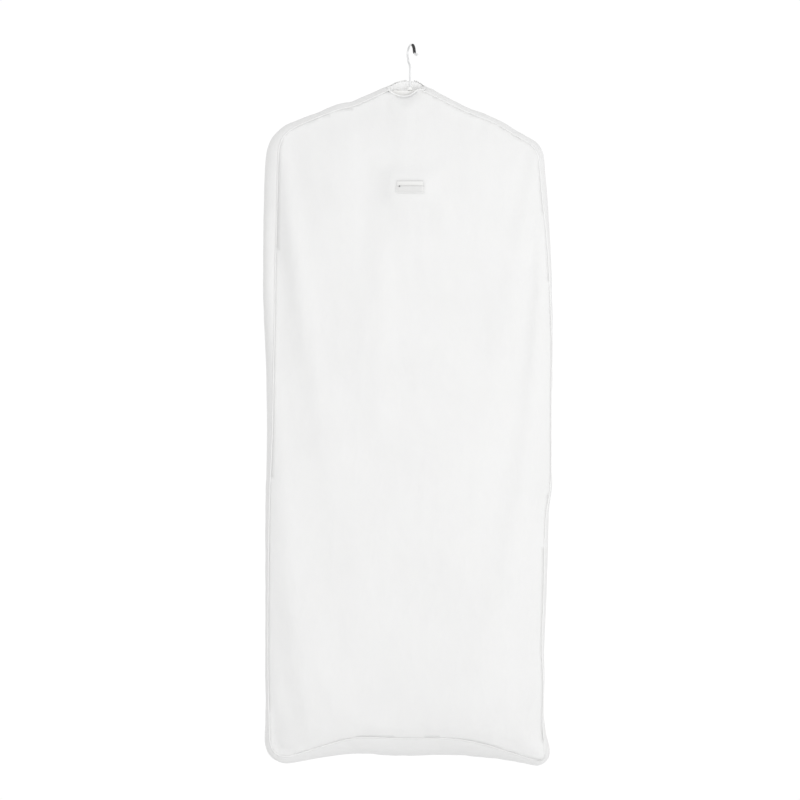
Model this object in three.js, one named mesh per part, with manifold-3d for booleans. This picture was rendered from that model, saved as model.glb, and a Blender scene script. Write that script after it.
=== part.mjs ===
// A gusseted garment bag hanging on its clothes hanger, in millimetres, with +Z up.
// The origin is the rail seat: the inner face of the hook's arch, straight above the hanger's shank.
// The front panel faces -Y, the zip runs down the middle of the back, and +X is to the right seen from the front.

import * as THREE from 'three';
import { mergeVertices } from 'three/addons/utils/BufferGeometryUtils.js';
import Module from 'manifold-3d';

const wasm = await Module();
wasm.setup();

// ---------------------------------------------------------------- driving dimensions

const GAP = 0.3; // clearance between touching pieces

// The bag, measured on its seam line
const BAG_HALF_WIDTH = 289;
const BAG_TOP = -84; // the short flat stretch of the gable, at the neck
const BAG_BOTTOM = -1512;
const BAG_DEPTH = 100; // between the middles of the front and back pipings
const PLATEAU_HALF_WIDTH = 48;
const SHOULDER_DROP = 105; // from the neck down to the shoulder corner
const FABRIC = 1;
const PIPING = 4;
const FRONT_BULGE = 14;
const SIDE_BULGE = 13;
const TOP_RAMP = 165; // length over which the front swells out below the neck
const BOTTOM_RAMP = 140;
const FRONT_COLUMNS = 11; // an odd number, so that the middle column is flat and faces -Y

const PLATEAU_RADIUS = 18;
const SHOULDER_RADIUS = 32;
const BOTTOM_RADIUS = 24;

// The neck, where the hook comes out
const NECK_LEFT = -46;
const NECK_RIGHT = 30;
const NOTCH_X = -15;
const NOTCH_HALF_WIDTH = 27;
const NOTCH_DEPTH = 20;
const NOTCH_RADIUS = 14;
const BINDING = 3;

// The name card and its pocket
const CARD_WIDTH = 55;
const CARD_HEIGHT = 24;
const CARD_THICKNESS = 0.6;
const POCKET_WIDTH = 59.5;
const POCKET_HEIGHT = 14.5;
const POCKET_BOTTOM = -318.3;
const POCKET_WALL = 0.8;

// The zip
const TAPE_WIDTH = 14;
const TAPE_THICKNESS = 0.8;
const COIL_WIDTH = 2;
const COIL_THICKNESS = 2.2;
const COIL_HALF_GAP = 0.7;
const COIL_TOP = -104;
const COIL_BOTTOM = -1488;
const ZIP_FABRIC_EDGE = 9; // the back panels' edges beside the coils
const SLIDER_LENGTH = 12;
const SLIDER_HALF_WIDTH = 4.6;
const SLIDER_PLATE = 1.2;
const CROWN_LENGTH = 9;
const CROWN_WIDTH = 1.8;
const CROWN_BAR = 1.3;
const PULL_LENGTH = 30;
const PULL_WIDTH = 8;
const PULL_THICKNESS = 1.2;

// The hook
const WIRE_RADIUS = 2.2;
const ARCH_RADIUS = 18;
const ARCH_OFFSET = 5; // the arch leans this far to the free arm's side of the shank
const HOOK_TURN = THREE.MathUtils.degToRad(-67); // the free arm points to the front right
const SLEEVE_THICKNESS = 0.9;

// The hanger
const HANGER_THICKNESS = 14;
const HANGER_CLEARANCE = 8; // below the fabric at the neck
const HANGER_TOP_HALF_WIDTH = 34; // the short flat stretch between the arms
const ARM_SLOPE = THREE.MathUtils.degToRad(25.4);
const ARM_HEIGHT = 22;
const ARM_TIP_X = 214;
const BAR_RADIUS = 4;
const BAR_Z = -208;
const BAR_SOCKET_DEPTH = 8;
const BOSS_BOTTOM = -119;
const SHANK_HOLE_RADIUS = 2.6;
const FERRULE_RADIUS = 8;
const NUT_RADIUS = 5;
const NUT_HEIGHT = 4;

// ---------------------------------------------------------------- materials

function surface(color, roughness, metalness = 0) {
  return new THREE.MeshStandardMaterial({ color, roughness, metalness });
}

const bagFabric = surface(0xf0f0ef, 0.75);
const pipingFabric = surface(0xe9e9e8, 0.7);
const tapeFabric = surface(0xe4e4e2, 0.8);
const coilPlastic = surface(0xdededc, 0.5);
const zipMetal = surface(0xc4c6c9, 0.25, 0.9);
const hookMetal = surface(0xc9cbce, 0.3, 0.9);
const sleeveVinyl = surface(0x161616, 0.5);
const hangerPlastic = surface(0xe6e4df, 0.35);
const pocketVinyl = surface(0xdfe0dd, 0.3);
const cardPaper = surface(0xefeee9, 0.85);

// ---------------------------------------------------------------- shape helpers

function toSolid(geometry) {
  const bare = geometry.clone();
  bare.deleteAttribute('normal');
  bare.deleteAttribute('uv');
  const merged = mergeVertices(bare, 1e-4);
  const vertProperties = new Float32Array(merged.attributes.position.array);
  const triVerts = new Uint32Array(merged.index.array);
  return new wasm.Manifold(new wasm.Mesh({ numProp: 3, vertProperties, triVerts }));
}

function toGeometry(solid) {
  const mesh = solid.getMesh();
  const geometry = new THREE.BufferGeometry();
  geometry.setAttribute('position', new THREE.BufferAttribute(mesh.vertProperties, 3));
  geometry.setIndex(new THREE.BufferAttribute(mesh.triVerts, 1));
  return geometry;
}

function cut(geometry, ...tools) {
  return toGeometry(tools.reduce((solid, tool) => solid.subtract(toSolid(tool)), toSolid(geometry)));
}

function keepInside(geometry, region) {
  return toGeometry(toSolid(geometry).intersect(toSolid(region)));
}

function join(...geometries) {
  return toGeometry(geometries.map(toSolid).reduce((whole, piece) => whole.add(piece)));
}

// A box between two opposite corners.
function box([x0, y0, z0], [x1, y1, z1]) {
  const geometry = new THREE.BoxGeometry(x1 - x0, y1 - y0, z1 - z0);
  return geometry.translate((x0 + x1) / 2, (y0 + y1) / 2, (z0 + z1) / 2);
}

// A polygon with each corner rounded to its own radius.
function roundCorners(corners, radii, segments = 5) {
  return corners.flatMap((corner, i) => {
    const before = corners[(i + corners.length - 1) % corners.length];
    const after = corners[(i + 1) % corners.length];
    const back = before.clone().sub(corner).normalize();
    const on = after.clone().sub(corner).normalize();
    const half = Math.acos(THREE.MathUtils.clamp(back.dot(on), -1, 1)) / 2;
    if (!radii[i]) return [corner.clone()];
    const middle = back.clone().add(on).normalize().multiplyScalar(radii[i] / Math.sin(half)).add(corner);
    const first = back.clone().multiplyScalar(radii[i] / Math.tan(half)).add(corner).sub(middle);
    const turn = Math.sign(back.cross(on)) * -(Math.PI - 2 * half);
    return Array.from({ length: segments + 1 }, (_, k) =>
      first.clone().rotateAround(new THREE.Vector2(), (turn * k) / segments).add(middle));
  });
}

// A convex polygon moved inwards by a distance. Its corners run anticlockwise.
function insetPolygon(corners, distance) {
  return corners.map((corner, i) => {
    const before = corners[(i + corners.length - 1) % corners.length];
    const after = corners[(i + 1) % corners.length];
    const incoming = corner.clone().sub(before).normalize();
    const outgoing = after.clone().sub(corner).normalize();
    const inward = new THREE.Vector2(-incoming.y - outgoing.y, incoming.x + outgoing.x);
    return inward.multiplyScalar(distance / (1 + incoming.dot(outgoing))).add(corner);
  });
}

// An outline in the XZ plane, made solid from yFront to yBack.
function slab(outline, yFront, yBack, hole = null) {
  const shape = new THREE.Shape(outline);
  if (hole) shape.holes.push(new THREE.Path(hole));
  const geometry = new THREE.ExtrudeGeometry(shape, { depth: yBack - yFront, bevelEnabled: false });
  return geometry.rotateX(Math.PI / 2).translate(0, yBack, 0);
}

// A closed thin solid between the surface point(s, t) and its copy moved by offset.
// The offset points to the side of s crossed with t.
function thinSheet(point, columns, rows, offset) {
  const positions = [];
  const index = [];
  const wide = columns + 1;
  const sheetSize = wide * (rows + 1);
  for (const shift of [new THREE.Vector3(), offset]) {
    for (let r = 0; r <= rows; r += 1) {
      for (let c = 0; c <= columns; c += 1) positions.push(...point(c / columns, r, shift).toArray());
    }
  }
  const quad = (a, b, c, d) => index.push(a, b, c, a, c, d);
  for (let r = 0; r < rows; r += 1) {
    for (let c = 0; c < columns; c += 1) {
      const a = r * wide + c;
      quad(a, a + wide, a + wide + 1, a + 1);
      quad(sheetSize + a, sheetSize + a + 1, sheetSize + a + wide + 1, sheetSize + a + wide);
    }
  }
  const rim = [];
  for (let c = 0; c < columns; c += 1) rim.push(c);
  for (let r = 0; r < rows; r += 1) rim.push(r * wide + columns);
  for (let c = columns; c > 0; c -= 1) rim.push(rows * wide + c);
  for (let r = rows; r > 0; r -= 1) rim.push(r * wide);
  rim.forEach((a, i) => {
    const b = rim[(i + 1) % rim.length];
    quad(a, b, b + sheetSize, a + sheetSize);
  });
  const geometry = new THREE.BufferGeometry();
  geometry.setAttribute('position', new THREE.Float32BufferAttribute(positions, 3));
  geometry.setIndex(index);
  return geometry;
}

// A round bar along a curve, solid, or hollow with the given bore.
function tubeAlong(curve, radius, steps, sides, bore = 0) {
  const circle = (r) => Array.from({ length: sides }, (_, k) =>
    new THREE.Vector2(r, 0).rotateAround(new THREE.Vector2(), (2 * Math.PI * k) / sides));
  const section = new THREE.Shape(circle(radius));
  if (bore) section.holes.push(new THREE.Path(circle(bore)));
  return new THREE.ExtrudeGeometry(section, { steps, extrudePath: curve, bevelEnabled: false });
}

// A ring about the Z axis.
function ring(inner, outer, bottom, top, sides = 20) {
  const corners = [[inner, bottom], [outer, bottom], [outer, top], [inner, top], [inner, bottom]];
  const profile = corners.map(([r, z]) => new THREE.Vector2(r, z));
  return new THREE.LatheGeometry(profile, sides).rotateX(Math.PI / 2);
}

function piece(parent, name, geometry, material) {
  const mesh = new THREE.Mesh(geometry, material.clone());
  mesh.name = name;
  parent.add(mesh);
  return mesh;
}

const ease = (t) => THREE.MathUtils.smoothstep(t, 0, 1);
const mirrorX = (geometry) => toGeometry(toSolid(geometry).mirror([1, 0, 0]));

// ---------------------------------------------------------------- the bag's outline

const shoulderZ = BAG_TOP - SHOULDER_DROP;
const seamCorners = [
  [-BAG_HALF_WIDTH, BAG_BOTTOM],
  [BAG_HALF_WIDTH, BAG_BOTTOM],
  [BAG_HALF_WIDTH, shoulderZ],
  [PLATEAU_HALF_WIDTH, BAG_TOP],
  [-PLATEAU_HALF_WIDTH, BAG_TOP],
  [-BAG_HALF_WIDTH, shoulderZ],
].map(([x, z]) => new THREE.Vector2(x, z));
const seamRadii = [
  BOTTOM_RADIUS, BOTTOM_RADIUS, SHOULDER_RADIUS, PLATEAU_RADIUS, PLATEAU_RADIUS, SHOULDER_RADIUS,
];

function bagOutline(inset) {
  return roundCorners(insetPolygon(seamCorners, inset), seamRadii.map((radius) => radius - inset));
}

const ySeam = BAG_DEPTH / 2;
const panelInset = PIPING + GAP;
const gableSlope = Math.atan2(SHOULDER_DROP, BAG_HALF_WIDTH - PLATEAU_HALF_WIDTH);
const gableTurn = Math.PI / 2 - gableSlope;
const shoulderTangentZ = shoulderZ - SHOULDER_RADIUS * Math.tan(gableTurn / 2);
const bottomTangentZ = BAG_BOTTOM + BOTTOM_RADIUS;

// The U-shaped notch in the front edge of the neck, widened by a margin.
function notchTool(margin) {
  const halfWidth = NOTCH_HALF_WIDTH + margin;
  const bottom = BAG_TOP - NOTCH_DEPTH - margin;
  const corners = [
    [NOTCH_X - halfWidth, bottom], [NOTCH_X + halfWidth, bottom],
    [NOTCH_X + halfWidth, BAG_TOP + 10], [NOTCH_X - halfWidth, BAG_TOP + 10],
  ].map(([x, z]) => new THREE.Vector2(x, z));
  return roundCorners(corners, [NOTCH_RADIUS + margin, NOTCH_RADIUS + margin, 0, 0]);
}

const notchCut = slab(notchTool(BINDING + GAP), -ySeam - FRONT_BULGE, -ySeam + 10);

// ---------------------------------------------------------------- bag panels and gussets

function frontPanel() {
  const rim = bagOutline(panelInset).filter((corner) => corner.x > 0);
  const down = rim.sort((a, b) => b.y - a.y || a.x - b.x);
  const edge = [];
  down.forEach((corner, i) => {
    edge.push(corner);
    const next = down[i + 1];
    if (!next) return;
    const parts = Math.max(1, Math.round(corner.distanceTo(next) / 130));
    for (let k = 1; k < parts; k += 1) edge.push(corner.clone().lerp(next, k / parts));
  });
  const point = (s, row, shift) => {
    const { x: halfWidth, y: z } = edge[row];
    const across = 2 * s - 1;
    const swell = ease((BAG_TOP - z) / TOP_RAMP) * ease((z - BAG_BOTTOM) / BOTTOM_RAMP);
    const y = -ySeam - FRONT_BULGE * swell * (1 - across ** 2);
    return new THREE.Vector3(across * halfWidth, y, z).add(shift);
  };
  const sheet = thinSheet(point, FRONT_COLUMNS, edge.length - 1, new THREE.Vector3(0, FABRIC, 0));
  return cut(sheet, notchCut);
}

function backPanelLeft() {
  const whole = slab(bagOutline(panelInset), ySeam - FABRIC / 2, ySeam + FABRIC / 2);
  const half = box([-2 * BAG_HALF_WIDTH, 0, BAG_BOTTOM], [-ZIP_FABRIC_EDGE, 2 * ySeam, BAG_TOP]);
  return keepInside(whole, half);
}

// The gussets lie inside the pipings' ring and meet them face to face.
const gussetHalfDepth = ySeam - PIPING / 2 - GAP;
const gussetInset = 1.2;

function gussetBand(low, high) {
  const outer = bagOutline(gussetInset);
  const inner = bagOutline(gussetInset + FABRIC);
  return keepInside(slab(outer, -gussetHalfDepth, gussetHalfDepth, inner), box(low, high));
}

function shoulderGusset(xLow, xHigh) {
  return gussetBand([xLow, -ySeam, shoulderTangentZ], [xHigh, ySeam, 0]);
}

function sideGussetLeft() {
  const top = shoulderTangentZ - GAP;
  const bottom = bottomTangentZ + GAP;
  const rows = 12;
  const point = (s, row, shift) => {
    const t = row / rows;
    const across = 2 * s - 1;
    const swell = ease(Math.min(1, 6 * t)) * ease(Math.min(1, 8 * (1 - t)));
    const x = -BAG_HALF_WIDTH + gussetInset - SIDE_BULGE * swell * (1 - across ** 2);
    return new THREE.Vector3(x, -across * gussetHalfDepth, top + (bottom - top) * t).add(shift);
  };
  return thinSheet(point, 6, rows, new THREE.Vector3(FABRIC, 0, 0));
}

function bottomGusset() {
  const reach = 2 * BAG_HALF_WIDTH;
  return gussetBand([-reach, -ySeam, BAG_BOTTOM], [reach, ySeam, bottomTangentZ]);
}

function pipingRing(yMiddle) {
  return slab(bagOutline(0), yMiddle - PIPING / 2, yMiddle + PIPING / 2, bagOutline(PIPING));
}

function neckBinding() {
  const top = BAG_TOP + 2;
  const band = cut(
    slab(notchTool(BINDING), -ySeam - PIPING / 2, -ySeam + PIPING / 2),
    slab(notchTool(0), -ySeam - PIPING, -ySeam + PIPING),
  );
  return keepInside(band, box([-BAG_HALF_WIDTH, -2 * ySeam, BAG_BOTTOM], [BAG_HALF_WIDTH, 0, top]));
}

// ---------------------------------------------------------------- name card and pocket

const frontFace = -ySeam - FRONT_BULGE;
const pocketBack = frontFace - GAP;
const cardBack = pocketBack - POCKET_WALL - GAP;
const cardBottom = POCKET_BOTTOM + 2;

function labelPocket() {
  const pocketFront = cardBack - CARD_THICKNESS - GAP - POCKET_WALL;
  const pocketTop = POCKET_BOTTOM + POCKET_HEIGHT;
  const body = box([-POCKET_WIDTH / 2, pocketFront, POCKET_BOTTOM], [POCKET_WIDTH / 2, pocketBack, pocketTop]);
  const slot = box(
    [-CARD_WIDTH / 2 - GAP, cardBack - CARD_THICKNESS - GAP, cardBottom - GAP],
    [CARD_WIDTH / 2 + GAP, cardBack + GAP, pocketTop + 1],
  );
  return cut(body, slot);
}

function labelCard() {
  return box(
    [-CARD_WIDTH / 2, cardBack - CARD_THICKNESS, cardBottom],
    [CARD_WIDTH / 2, cardBack, cardBottom + CARD_HEIGHT],
  );
}

// ---------------------------------------------------------------- zip

const tapeOuterFace = ySeam - FABRIC / 2 - GAP;
const tapeMiddle = tapeOuterFace - TAPE_THICKNESS / 2;
const coilOuterX = COIL_HALF_GAP + COIL_WIDTH;
const coilOuterFace = tapeMiddle + COIL_THICKNESS / 2;
const coilInnerFace = tapeMiddle - COIL_THICKNESS / 2;

function zipTapeLeft() {
  const inner = -coilOuterX - GAP;
  return box(
    [inner - TAPE_WIDTH, tapeOuterFace - TAPE_THICKNESS, BAG_BOTTOM + panelInset],
    [inner, tapeOuterFace, BAG_TOP - panelInset],
  );
}

function zipCoilLeft() {
  return box([-coilOuterX, coilInnerFace, COIL_BOTTOM], [-COIL_HALF_GAP, coilOuterFace, COIL_TOP]);
}

function zipTopStopLeft() {
  const bottom = COIL_TOP + GAP;
  return box([-coilOuterX, coilInnerFace, bottom], [-COIL_HALF_GAP, coilOuterFace + 0.3, bottom + 4]);
}

function zipBottomStop() {
  const top = COIL_BOTTOM - GAP;
  return box([-coilOuterX, coilInnerFace, top - 5], [coilOuterX, coilOuterFace + 0.3, top]);
}

// The slider parks below the top stops. The pull's hinge axis lies under the crown.
const sliderZ = COIL_TOP - 2 - SLIDER_LENGTH / 2;
const plateFace = coilOuterFace + GAP + SLIDER_PLATE;
const pullAxisY = plateFace + GAP + PULL_THICKNESS;
const pullAxisZ = sliderZ + CROWN_LENGTH / 2 - CROWN_BAR - 1.4;

function zipSlider() {
  const half = SLIDER_LENGTH / 2;
  const outline = roundCorners([
    [-SLIDER_HALF_WIDTH + 1, sliderZ - half], [SLIDER_HALF_WIDTH - 1, sliderZ - half],
    [SLIDER_HALF_WIDTH, sliderZ + half], [-SLIDER_HALF_WIDTH, sliderZ + half],
  ].map(([x, z]) => new THREE.Vector2(x, z)), [1.5, 1.5, 2.5, 2.5], 4);
  const outerPlate = slab(outline, plateFace - SLIDER_PLATE, plateFace);
  const innerPlate = slab(outline, coilInnerFace - GAP - SLIDER_PLATE, coilInnerFace - GAP);
  const web = box(
    [-COIL_HALF_GAP + 0.25, coilInnerFace - GAP - 0.5, sliderZ - 2],
    [COIL_HALF_GAP - 0.25, plateFace - 0.5, sliderZ + half - 1],
  );
  const crownFace = pullAxisY + PULL_THICKNESS / 2 + GAP + CROWN_BAR;
  const crown = cut(
    box(
      [-CROWN_WIDTH / 2, plateFace - 0.5, sliderZ - CROWN_LENGTH / 2],
      [CROWN_WIDTH / 2, crownFace, sliderZ + CROWN_LENGTH / 2],
    ),
    box(
      [-CROWN_WIDTH, plateFace, sliderZ - CROWN_LENGTH / 2 + CROWN_BAR],
      [CROWN_WIDTH, crownFace - CROWN_BAR, sliderZ + CROWN_LENGTH / 2 - CROWN_BAR],
    ),
  );
  return join(outerPlate, innerPlate, web, crown);
}

function zipPull() {
  const top = pullAxisZ + PULL_THICKNESS / 2;
  const neck = PULL_WIDTH / 2 - 1;
  const outline = roundCorners([
    [-neck, top], [neck, top], [PULL_WIDTH / 2, top - PULL_LENGTH], [-PULL_WIDTH / 2, top - PULL_LENGTH],
  ].reverse().map(([x, z]) => new THREE.Vector2(x, z)), [3, 3, 0.5, 0.5], 4);
  const plate = slab(outline, pullAxisY - PULL_THICKNESS / 2, pullAxisY + PULL_THICKNESS / 2);
  const eyeHalfWidth = CROWN_WIDTH / 2 + 0.6;
  const eye = box(
    [-eyeHalfWidth, pullAxisY - PULL_THICKNESS, top - PULL_THICKNESS - 8],
    [eyeHalfWidth, pullAxisY + PULL_THICKNESS, top - PULL_THICKNESS],
  );
  const gripHole = slab(roundCorners([
    [-1.6, top - PULL_LENGTH + 3.5], [1.6, top - PULL_LENGTH + 3.5],
    [1.6, top - PULL_LENGTH + 12], [-1.6, top - PULL_LENGTH + 12],
  ].map(([x, z]) => new THREE.Vector2(x, z)), [1.5, 1.5, 1.5, 1.5], 3),
  pullAxisY - PULL_THICKNESS, pullAxisY + PULL_THICKNESS);
  return cut(plate, eye, gripHole);
}

// ---------------------------------------------------------------- hanger

const hangerTop = BAG_TOP - gussetInset - FABRIC - HANGER_CLEARANCE;

// The arms fall a little faster than the bag's gable. Their ends turn down to hold the bar.
function hangerBody() {
  const slope = Math.tan(ARM_SLOPE);
  const armTop = (x) => hangerTop - Math.max(0, x - HANGER_TOP_HALF_WIDTH) * slope;
  const right = [
    [22, BOSS_BOTTOM],
    [60, armTop(60) - ARM_HEIGHT],
    [ARM_TIP_X - 24, armTop(ARM_TIP_X - 24) - ARM_HEIGHT],
    [ARM_TIP_X - 24, BAR_Z - 9],
    [ARM_TIP_X - 6, BAR_Z - 9],
    [ARM_TIP_X + 2, armTop(ARM_TIP_X) - 16],
    [ARM_TIP_X - 6, armTop(ARM_TIP_X - 6)],
    [HANGER_TOP_HALF_WIDTH, hangerTop],
  ];
  const left = right.map(([x, z]) => [-x, z]).reverse();
  const radii = [10, 14, 10, 4, 8, 16, 7, 14];
  const corners = [...right, ...left].map(([x, z]) => new THREE.Vector2(x, z));
  const outline = roundCorners(corners, [...radii, ...radii.toReversed()], 4);
  const body = slab(outline, -HANGER_THICKNESS / 2, HANGER_THICKNESS / 2);
  const shankHole = new THREE.CylinderGeometry(SHANK_HOLE_RADIUS, SHANK_HOLE_RADIUS, 80, 16)
    .rotateX(Math.PI / 2).translate(0, 0, (hangerTop + BOSS_BOTTOM) / 2);
  const barHalf = ARM_TIP_X - 24 + BAR_SOCKET_DEPTH;
  const sockets = new THREE.CylinderGeometry(BAR_RADIUS + GAP, BAR_RADIUS + GAP, 2 * barHalf, 16)
    .rotateZ(Math.PI / 2).translate(0, 0, BAR_Z);
  return cut(body, shankHole, sockets);
}

function hangerBar() {
  const halfLength = ARM_TIP_X - 24 + BAR_SOCKET_DEPTH - GAP;
  const bar = new THREE.CylinderGeometry(BAR_RADIUS, BAR_RADIUS, 2 * halfLength, 16);
  return bar.rotateZ(Math.PI / 2).translate(0, 0, BAR_Z);
}

function hookFerrule() {
  const profile = [
    [SHANK_HOLE_RADIUS, 0], [FERRULE_RADIUS, 0], [FERRULE_RADIUS, 1.5],
    [4.5, 4.5], [4, 7], [SHANK_HOLE_RADIUS, 7], [SHANK_HOLE_RADIUS, 0],
  ].map(([r, z]) => new THREE.Vector2(r, z + hangerTop + GAP));
  return new THREE.LatheGeometry(profile, 20).rotateX(Math.PI / 2);
}

// ---------------------------------------------------------------- hook

const archCentreZ = -Math.sqrt((ARCH_RADIUS - WIRE_RADIUS) ** 2 - ARCH_OFFSET ** 2);
const shankBottom = BOSS_BOTTOM - GAP - NUT_HEIGHT - 1.5;

// The wire's middle line in the hook's own plane: shank, back bow, arch, and the flared free end.
function hookLine() {
  const points = [[0, shankBottom], [0, -90], [0, -62], [0, -46], [-2.5, -38.5], [-8.5, -31.5]];
  const arcStart = 205;
  const arcEnd = 5;
  const arcSteps = 9;
  for (let k = 0; k <= arcSteps; k += 1) {
    const angle = THREE.MathUtils.degToRad(arcStart + ((arcEnd - arcStart) * k) / arcSteps);
    points.push([
      ARCH_OFFSET + ARCH_RADIUS * Math.cos(angle),
      archCentreZ + ARCH_RADIUS * Math.sin(angle),
    ]);
  }
  points.push([26.5, -20.5], [32, -23.5], [38.5, -23]);
  return new THREE.CatmullRomCurve3(points.map(([u, z]) => new THREE.Vector3(u, 0, z)), false, 'centripetal');
}

// A stretch of another curve, between two shares of its length.
class Stretch extends THREE.Curve {
  constructor(whole, from, to) {
    super();
    this.whole = whole;
    this.from = from;
    this.to = to;
  }

  getPoint(t, target = new THREE.Vector3()) {
    return this.whole.getPointAt(THREE.MathUtils.lerp(this.from, this.to, t), target);
  }
}

const hookCurve = hookLine();

function hookWire() {
  return tubeAlong(hookCurve, WIRE_RADIUS, 56, 10);
}

function hookSleeve() {
  const bore = WIRE_RADIUS + GAP;
  return tubeAlong(new Stretch(hookCurve, 0.765, 0.925), bore + SLEEVE_THICKNESS, 12, 12, bore);
}

function hookNut() {
  const top = BOSS_BOTTOM - GAP;
  return ring(WIRE_RADIUS + GAP, NUT_RADIUS, top - NUT_HEIGHT, top);
}

// ---------------------------------------------------------------- assembly

const garmentBag = new THREE.Group();

const hook = new THREE.Group();
hook.rotation.z = HOOK_TURN;
piece(hook, 'hook_wire', hookWire(), hookMetal);
piece(hook, 'hook_sleeve', hookSleeve(), sleeveVinyl);
piece(hook, 'hook_nut', hookNut(), hookMetal);
garmentBag.add(hook);

const hanger = new THREE.Group();
piece(hanger, 'hanger_body', hangerBody(), hangerPlastic);
piece(hanger, 'hanger_bar', hangerBar(), hangerPlastic);
piece(hanger, 'hook_ferrule', hookFerrule(), hookMetal);
garmentBag.add(hanger);

const bag = new THREE.Group();
piece(bag, 'front_panel', frontPanel(), bagFabric);
piece(bag, 'shoulder_gusset_left', shoulderGusset(-2 * BAG_HALF_WIDTH, NECK_LEFT), bagFabric);
piece(bag, 'shoulder_gusset_right', shoulderGusset(NECK_RIGHT, 2 * BAG_HALF_WIDTH), bagFabric);
piece(bag, 'bottom_gusset', bottomGusset(), bagFabric);
piece(bag, 'front_piping', cut(pipingRing(-ySeam), notchCut), pipingFabric);
piece(bag, 'back_piping', pipingRing(ySeam), pipingFabric);
piece(bag, 'neck_binding', neckBinding(), pipingFabric);
garmentBag.add(bag);

const pairs = [
  ['back_panel', backPanelLeft(), bagFabric],
  ['side_gusset', sideGussetLeft(), bagFabric],
  ['zip_tape', zipTapeLeft(), tapeFabric],
  ['zip_coil', zipCoilLeft(), coilPlastic],
  ['zip_top_stop', zipTopStopLeft(), zipMetal],
];
for (const [name, geometry, material] of pairs) {
  piece(bag, `${name}_left`, geometry, material);
  piece(bag, `${name}_right`, mirrorX(geometry), material);
}

const zip = new THREE.Group();
piece(zip, 'zip_bottom_stop', zipBottomStop(), zipMetal);
piece(zip, 'zip_slider', zipSlider(), zipMetal);
piece(zip, 'zip_pull', zipPull(), zipMetal);
garmentBag.add(zip);

const label = new THREE.Group();
piece(label, 'label_pocket', labelPocket(), pocketVinyl);
piece(label, 'label_card', labelCard(), cardPaper);
garmentBag.add(label);

export default garmentBag;
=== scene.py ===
"""Looks of a garment bag on its hanger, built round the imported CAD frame.

Metres, +Z up. The front panel faces -Y, and the origin is the rail seat inside the hook's arch.
The bag is one sewn shell, which a short cloth simulation hangs and which is then cut into its panels.
"""

import math
from contextlib import contextmanager

import bmesh
import bpy
import numpy as np
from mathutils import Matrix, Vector, geometry, noise
from mathutils.bvhtree import BVHTree


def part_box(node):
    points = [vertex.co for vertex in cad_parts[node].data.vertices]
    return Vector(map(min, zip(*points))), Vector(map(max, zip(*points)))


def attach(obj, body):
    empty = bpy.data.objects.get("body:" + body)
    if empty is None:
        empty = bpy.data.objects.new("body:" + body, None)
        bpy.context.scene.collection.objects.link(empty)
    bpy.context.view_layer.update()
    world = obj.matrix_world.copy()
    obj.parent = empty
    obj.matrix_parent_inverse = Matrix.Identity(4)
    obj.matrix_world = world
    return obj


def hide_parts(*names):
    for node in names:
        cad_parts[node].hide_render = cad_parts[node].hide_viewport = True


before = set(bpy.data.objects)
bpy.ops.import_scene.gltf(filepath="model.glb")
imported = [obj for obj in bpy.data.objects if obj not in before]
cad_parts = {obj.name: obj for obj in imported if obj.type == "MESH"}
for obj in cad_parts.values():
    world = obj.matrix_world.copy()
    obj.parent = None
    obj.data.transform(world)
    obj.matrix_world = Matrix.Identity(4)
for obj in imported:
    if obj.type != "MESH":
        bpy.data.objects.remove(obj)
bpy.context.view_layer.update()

MM = 0.001
SIDES = (("left", -1), ("right", 1))

# ---- places taken from the frame

back_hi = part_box("back_panel_left")[1]
pocket_lo, pocket_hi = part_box("label_pocket")
card_lo, card_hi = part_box("label_card")
coil_lo, coil_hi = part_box("zip_coil_left")
slider_lo, slider_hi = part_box("zip_slider")
pull_lo, pull_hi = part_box("zip_pull")
hanger_lo, hanger_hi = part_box("hanger_body")
bar_lo, bar_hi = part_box("hanger_bar")
nut_lo, nut_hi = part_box("hook_nut")

FRONT_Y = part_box("front_panel")[0].y  # outer face of the front panel's middle
BACK_Y = back_hi.y  # outer face of the flat back
ZIP_EDGE_X = -back_hi.x  # the back panels' edges beside the zip
TAPE_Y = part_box("zip_tape_left")[1].y  # outer face of the zip's tapes
COLLAR_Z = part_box("hook_ferrule")[0].z
LABEL_X = pocket_hi.x + 4 * MM  # the flat patch behind the name card
LABEL_TOP = card_hi.z + 3 * MM
LABEL_BOTTOM = pocket_lo.z - 4 * MM

# ---- driving sizes of the soft shell

CLOTH_STEP = 0.0125  # spacing of the cloth's vertices
CLOTH_THICKNESS = 0.0006
GUSSET_WIDTH = 0.100  # the gusset strip's cut width
GUSSET_ROWS = 9
LEAST_SWELL = 0.004  # the strip is never taken as flatter than this
NECK_LEFT = -0.046
NECK_RIGHT = 0.030
NECK_HALF_DEPTH = 0.024  # the gusset narrows to twice this at the neck
PINCH_LENGTH = 0.13  # over this length of seam
FRONT_SHARE = 0.80  # how far forward the front seam stands, as a share of the gusset's half width
LOW_FRONT_SHARE = 0.66  # along the bottom
TOP_FRONT_SHARE = 0.62  # and over the shoulders
NECK_LEAN = 0.008  # how far the neck's free edges lean in towards the hook
ZIP_TOP_DEPTH = 0.0165  # the zip's open ends lean in to this
SEAM_PIN = (0.95, 0.25)  # how firmly the seams are held, at the shoulders and below them
LOOSE_GUSSET = 0.85  # below the shoulders the gusset's middle is held this much less than its seams
PANEL_PIN = (0.012, 0.412)  # how firmly the panels are held, low down and at the neck
LABEL_PIN = 0.35
ZIP_PIN = 0.6
ROLL = (0.42, 0.020)  # how much of the front's rise its rolled edge takes, and over what distance
SWELL_WIDTH = 0.14  # how far from the seam the panels reach their full depth
BLEND_WIDTH = 0.07  # how far a panel's free edges draw its cloth with them
HANG_FRAMES = 30
WOBBLE = 0.0015  # unevenness of the cloth at the start

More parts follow.
